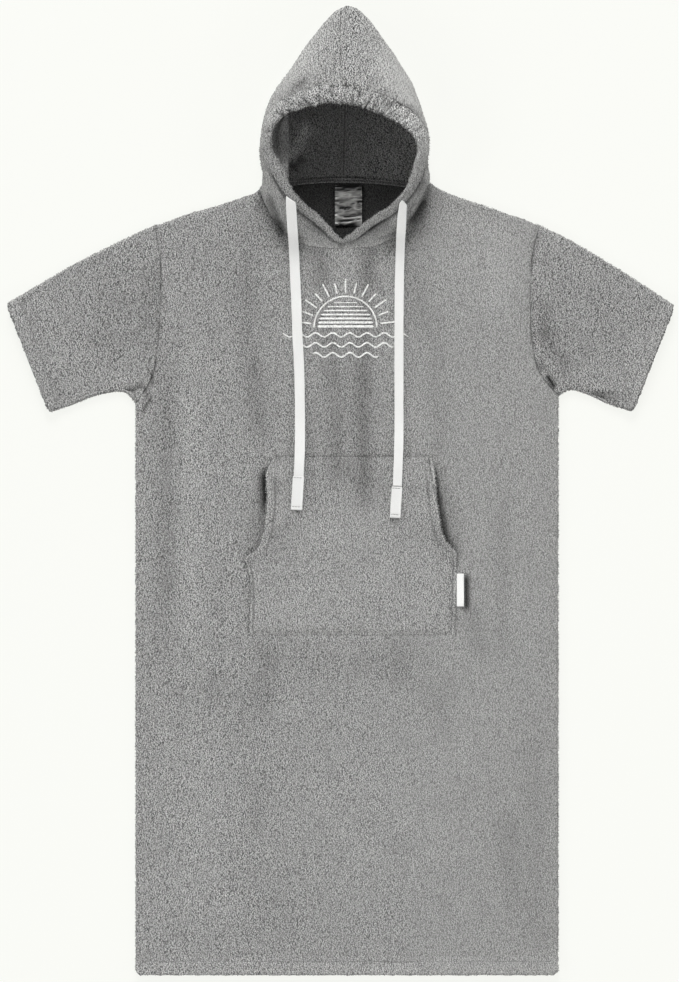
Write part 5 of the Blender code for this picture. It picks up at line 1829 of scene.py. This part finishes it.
def addNeckLabel():
    # a strip sewn in at its top and crumpled: ridges are 1 - |noise| of two sizes
    size = labels["neck"]
    x, y = np.meshgrid(np.linspace(*size["x"], 90), np.linspace(*size["y"], 130))
    place = together(x * 0.3, y - 0.12 * x, np.zeros_like(x))
    crests = 1.0 - 1.2 * np.abs(softNoise(place, 6.0, 61)) - 0.9 * np.abs(softNoise(place, 2.6, 62))
    free = eased(size["y"][1] - y, 0.0, 9.0)
    height = 3.0 + size["crumple"] * free * (0.75 + crests * 0.9)
    # painted light on the crests of the crumples and painted shade between them, lighter at the left edge
    # and darker near the top
    shade = np.clip(0.72 - 1.6 * crests, -0.5, 1.1) + 0.5 * softNoise(place, 14.0, 63)
    shade = shade - 0.35 * bell(x - size["x"][0], 1.5, 1.6) + 0.2 * eased(y, 1092.0, 1104.0)
    grid = withHeight(together(x, y), height)
    points, quads, source = shell(grid, size["thickness"], lipSteps=2)
    return addPiece("care_label", "neck_label", points, quads, satin,
                    uv=points[:, :2] + 400.0, creaseAndPaintedShade=onWall(source, shade))


def addSideLabel():
    # folded flag: lifts with the square of the distance from its seam, over a slow wave
    size = labels["side"]
    x, y = np.meshgrid(np.linspace(*size["x"], 16), np.linspace(*size["y"], 44))
    out = (x - size["x"][0]) / (size["x"][1] - size["x"][0])
    height = frontTop(x, y) + 0.85 + 2.4 * out**2 + 0.35 * np.sin((y - size["y"][0]) / 9.0) * out
    grid = withHeight(together(x, y), height)
    points, quads, _ = shell(grid, size["thickness"])
    uv = points[:, :2] + 400.0
    return addPiece("side_label", "pocket_label", points, quads, taffeta, uv=uv)


neckLabel = addNeckLabel()
addSideLabel()
print("labels done")

# Stitches and loops

sewing = {"length": 3.3, "gap": 0.7, "width": 0.75, "sunk": 0.25, "arch": 0.35}
fuzz = {
    "spacing": 1.25,
    "height": 2.0,
    "width": 1.2,
    "yarn": 0.42,
    "heightShare": (0.45, 1.25),  # of a loop's height
    "widthShare": (0.6, 1.3),
    "lift": (-0.6, 0.8),
    "lean": 0.45,  # along the edge
    "tilt": 0.3,  # any way
    "turn": (-0.15, 1.15),  # half turns from its start to its end
    "sunk": 0.5,
}


def stitchPaths(line):
    # along a line of points: one short arch for each stitch, its ends sunk into the cloth
    line = np.asarray(line, float)
    along = lengthsAlong(line)
    pitch = sewing["length"] + sewing["gap"]
    t = shares(5)
    at = np.arange(int(along[-1] / pitch))[:, None] * pitch + t[None, :] * sewing["length"]
    paths = np.stack([np.interp(at, along, line[:, k]) for k in range(3)], axis=-1)
    paths[..., 2] += sewing["arch"] * np.sin(math.pi * t) - sewing["sunk"] * (2.0 * t - 1.0) ** 2
    return paths


def addStitches(name, lines, material):
    # six-sided thread carried along every stitch
    paths = np.concatenate([stitchPaths(line) for line in lines])
    ahead = unit(paths[:, -1] - paths[:, 0])[:, None]
    side = unit(np.cross(ahead, (0.0, 0.0, 1.0)))
    up = unit(np.cross(side, ahead))
    points, faces = sweep(paths, side, up, roundProfile(sewing["width"], 6))
    return addPiece(name, None, points, faces, material)


def loopTufts(base, out, along, seed):
    # loops of yarn that stand out of an edge: point = base + out * height * sin(t) +
    # along * width * cos(t), each with its own size, lean and place
    generator = np.random.default_rng(seed)
    length = lengthsAlong(base)
    count = int(length[-1] / fuzz["spacing"])
    at = np.sort(generator.uniform(0.0, length[-1], count))
    read = [[np.interp(at, length, grid[:, k]) for k in range(3)] for grid in (base, out, along)]
    place, outward, run = (np.stack(values, axis=-1) for values in read)
    run = unit(run + generator.normal(0.0, fuzz["lean"], (count, 1)) * outward)
    lift = generator.uniform(*fuzz["lift"], (count, 1)) * np.array((0.0, 0.0, 1.0))
    outward = unit(outward + lift + generator.normal(0.0, fuzz["tilt"], (count, 3)))
    height = fuzz["height"] * generator.uniform(*fuzz["heightShare"], (count, 1, 1))
    width = 0.5 * fuzz["width"] * generator.uniform(*fuzz["widthShare"], (count, 1, 1))
    t = np.linspace(*fuzz["turn"], 6)[None, :, None] * math.pi
    place = place[:, None] - fuzz["sunk"] * outward[:, None]
    return place + outward[:, None] * height * np.sin(t) + run[:, None] * width * np.cos(t)


def addTufts(name, edges, seed):
    # four-sided yarn carried along the loops of several edges, each edge with its own draws
    paths = np.concatenate([loopTufts(*edgeRun(*edge), seed + k) for k, edge in enumerate(edges)])
    ahead = unit(np.gradient(paths, axis=1))
    side = unit(np.cross(ahead, (0.37, 0.21, 0.9)))
    points, faces = sweep(paths, side, np.cross(side, ahead), roundProfile(fuzz["yarn"], 4))
    return addPiece(name, None, points, faces, terry)


def edgeRun(line, count, turn):
    # count points along an edge, with the directions out of it and along it; turn is 1 where
    # the outside lies to the left of the way that the points go, and -1 to the right
    line = evenly(line, count)
    ahead = unit(np.gradient(line, axis=0) * (1.0, 1.0, 0.0))
    return line, turn * np.cross((0.0, 0.0, 1.0), ahead), ahead


def pocketRow(distance, rows, fromSide):
    # the pocket's own outer face along a row of stitches at a distance from one side
    aside = np.abs(pocketFace[:, :, 0] - pocketFace[:, [0 if fromSide == "left" else -1], 0])
    column = np.argmin(np.abs(aside - distance), axis=1)
    return pocketFace[np.arange(len(pocketFace)), column][rows]


hemX = np.linspace(-body["hemRowHalf"], body["hemRowHalf"], 400)
hemY = np.full(400, cloth["hemRow"])
hemMiddle, hemThickness = frontWall(hemX, hemY, hemY)
pocketY = pocketFace[:, 0, 1]
pocketFoot, pocketHead = pocket["left"][0][1], pocket["left"][-1][1]
mouthRows = (pocketY > pocket["mouth"][0] - 4.0) & (pocketY < pocketHead - 3.0)
sideRows = (pocketY < pocket["mouth"][0] - 8.0) & (pocketY > pocketFoot + 6.0)
topRow = np.argmin(np.abs(pocketY - pocketHead + pocket["topRow"]))
sewnLines = [
    together(hemX, hemY, hemMiddle + hemThickness / 2), sleeves["left"][1], sleeves["right"][1],
    pocketFace[topRow, 4:-4],
]
for side in sides:
    sewnLines.append(pocketRow(pocket["hem"], mouthRows, side))
    sewnLines.append(pocketRow(pocket["rowsIn"][side], sideRows, side))
stitches = addStitches("seam_stitches", sewnLines, thread)
addStitches("tip_stitches", tipPieces["left"][1] + tipPieces["right"][1], whiteThread)

# edges that show against the floor: line, points, side that is outside
bodyEdges = [(np.array([(-289.0, 0.8, 4.2), (289.0, 0.8, 4.2)]), 500, -1.0)]
for side, row in sides.items():
    sign = row["sign"]
    plan = sleevePlan(side)[0]
    down = np.array([(sign * body["halfWidth"], row["underarm"][1]), (sign * body["halfWidth"], 6.0)])
    toSleeve = shoulder(side, neckline(sign, 4)[-1], 20)[::-1]
    run = np.concatenate([toSleeve[:-1], plan[0], plan[:, -1], plan[-1, ::-1], down])
    bodyEdges.append((np.concatenate([run, np.full((len(run), 1), 3.8)], axis=1), 1500, sign))
    mouth = pocketFace[mouthRows, 0 if side == "left" else -1] - (0.0, 0.0, 1.0)
    bodyEdges.append((mouth, 200, -sign))
around = np.linspace(-10.0, 190.0, 500)
folded = np.where(around <= 90.0, around, 180.0 - around)
reach = np.where(around <= 90.0, flankRadius("right", folded), flankRadius("left", folded))
outline = faceCircle(around, 1.0) * (reach[:, None] + 0.9)
outline[:, 1] += faceMiddle
outline[:, 0] += lean(outline[:, 1])
outline[:, 2] = hoodColumn("side_z", folded)
hoodEdges = [(outline, 700, -1.0), (casingOuter[:, 0], 700, 1.0)]
bodyLoops = addTufts("body_edge_loops", bodyEdges, 71)
hoodLoops = addTufts("hood_edge_loops", hoodEdges, 81)
print("sewing done")

# Print on the chest: half a sun of bars with its rays, over three waves

chestPrint = {
    "middle": (-2.0, 906.0),
    "sun": 41.0,
    "bars": 7,
    "barHeight": 3.5,
    "barFoot": 1.7,
    "rays": 13,
    "rayReach": (49.0, 69.0),
    "lineWidth": 2.3,
    "waves": ((-10.0, 88.0), (-24.0, 68.0), (-38.0, 46.0)),  # height and half length of each
    "waveLength": 24.0,
    "waveHeight": 3.2,
    "clear": 0.42,
    "points": 40,  # in each line
    # across the ribbon: share of its width, and height of its outer face as a share of the width
    "ribbon": [(-0.5, -0.05), (-0.42, 0.05), (-0.2, 0.09), (0.2, 0.09), (0.42, 0.05), (0.5, -0.05)],
}


def printLines():
    # every line of the print in plan, and its width: the sun's arc, bars, rays and waves
    size = chestPrint
    t = shares(size["points"])
    arc = math.pi * t
    lines = [together(np.cos(arc), np.sin(arc)) * (size["sun"] + 3.0)]
    widths = [size["lineWidth"]]
    for k in range(size["bars"]):
        y = size["barFoot"] + k * (size["sun"] - 2.0) / size["bars"]
        reach = math.sqrt(size["sun"] ** 2 - (y + size["barFoot"]) ** 2) - 1.5
        lines.append(together(reach * (2.0 * t - 1.0), np.full_like(t, y)))
        widths.append(size["barHeight"] * (1.0 - 0.1 * k))
    for k in range(size["rays"]):
        angle = math.pi * (k + 0.5) / size["rays"]
        near, far = size["rayReach"]
        far = far - 5.0 * (k % 2)
        radius = near + (far - near) * t
        lines.append(together(radius * math.cos(angle), radius * math.sin(angle)))
        widths.append(size["lineWidth"])
    for drop, reach in size["waves"]:
        x = reach * (2.0 * t - 1.0)
        y = drop + size["waveHeight"] * np.sin(2.0 * math.pi * x / size["waveLength"])
        lines.append(together(x, y))
        widths.append(size["lineWidth"])
    return np.array(lines) + size["middle"], np.array(widths)


def addChestPrint():
    # each line is a thin ribbon on the front's outer face, whose width at both ends follows a
    # circle
    plan, widths = printLines()
    along = lengthsAlong(plan)
    toEnd = np.minimum(along, along[:, -1:] - along) / (0.5 * widths[:, None])
    rounded = np.sqrt(1.0 - (1.0 - np.clip(toEnd, 0.0, 1.0)) ** 2)
    scale = widths[:, None] * (0.35 + 0.65 * rounded)
    paths = withHeight(plan, frontTop(plan[..., 0], plan[..., 1]) + chestPrint["clear"])
    ahead = unit(np.gradient(paths, axis=1))
    side = unit(np.cross(ahead, (0.0, 0.0, 1.0)))
    points, faces = sweep(paths, side, np.cross(side, ahead), chestPrint["ribbon"], scale)
    return addPiece("chest_print", None, points, faces, ink)


printPiece = addChestPrint()
print("print done")
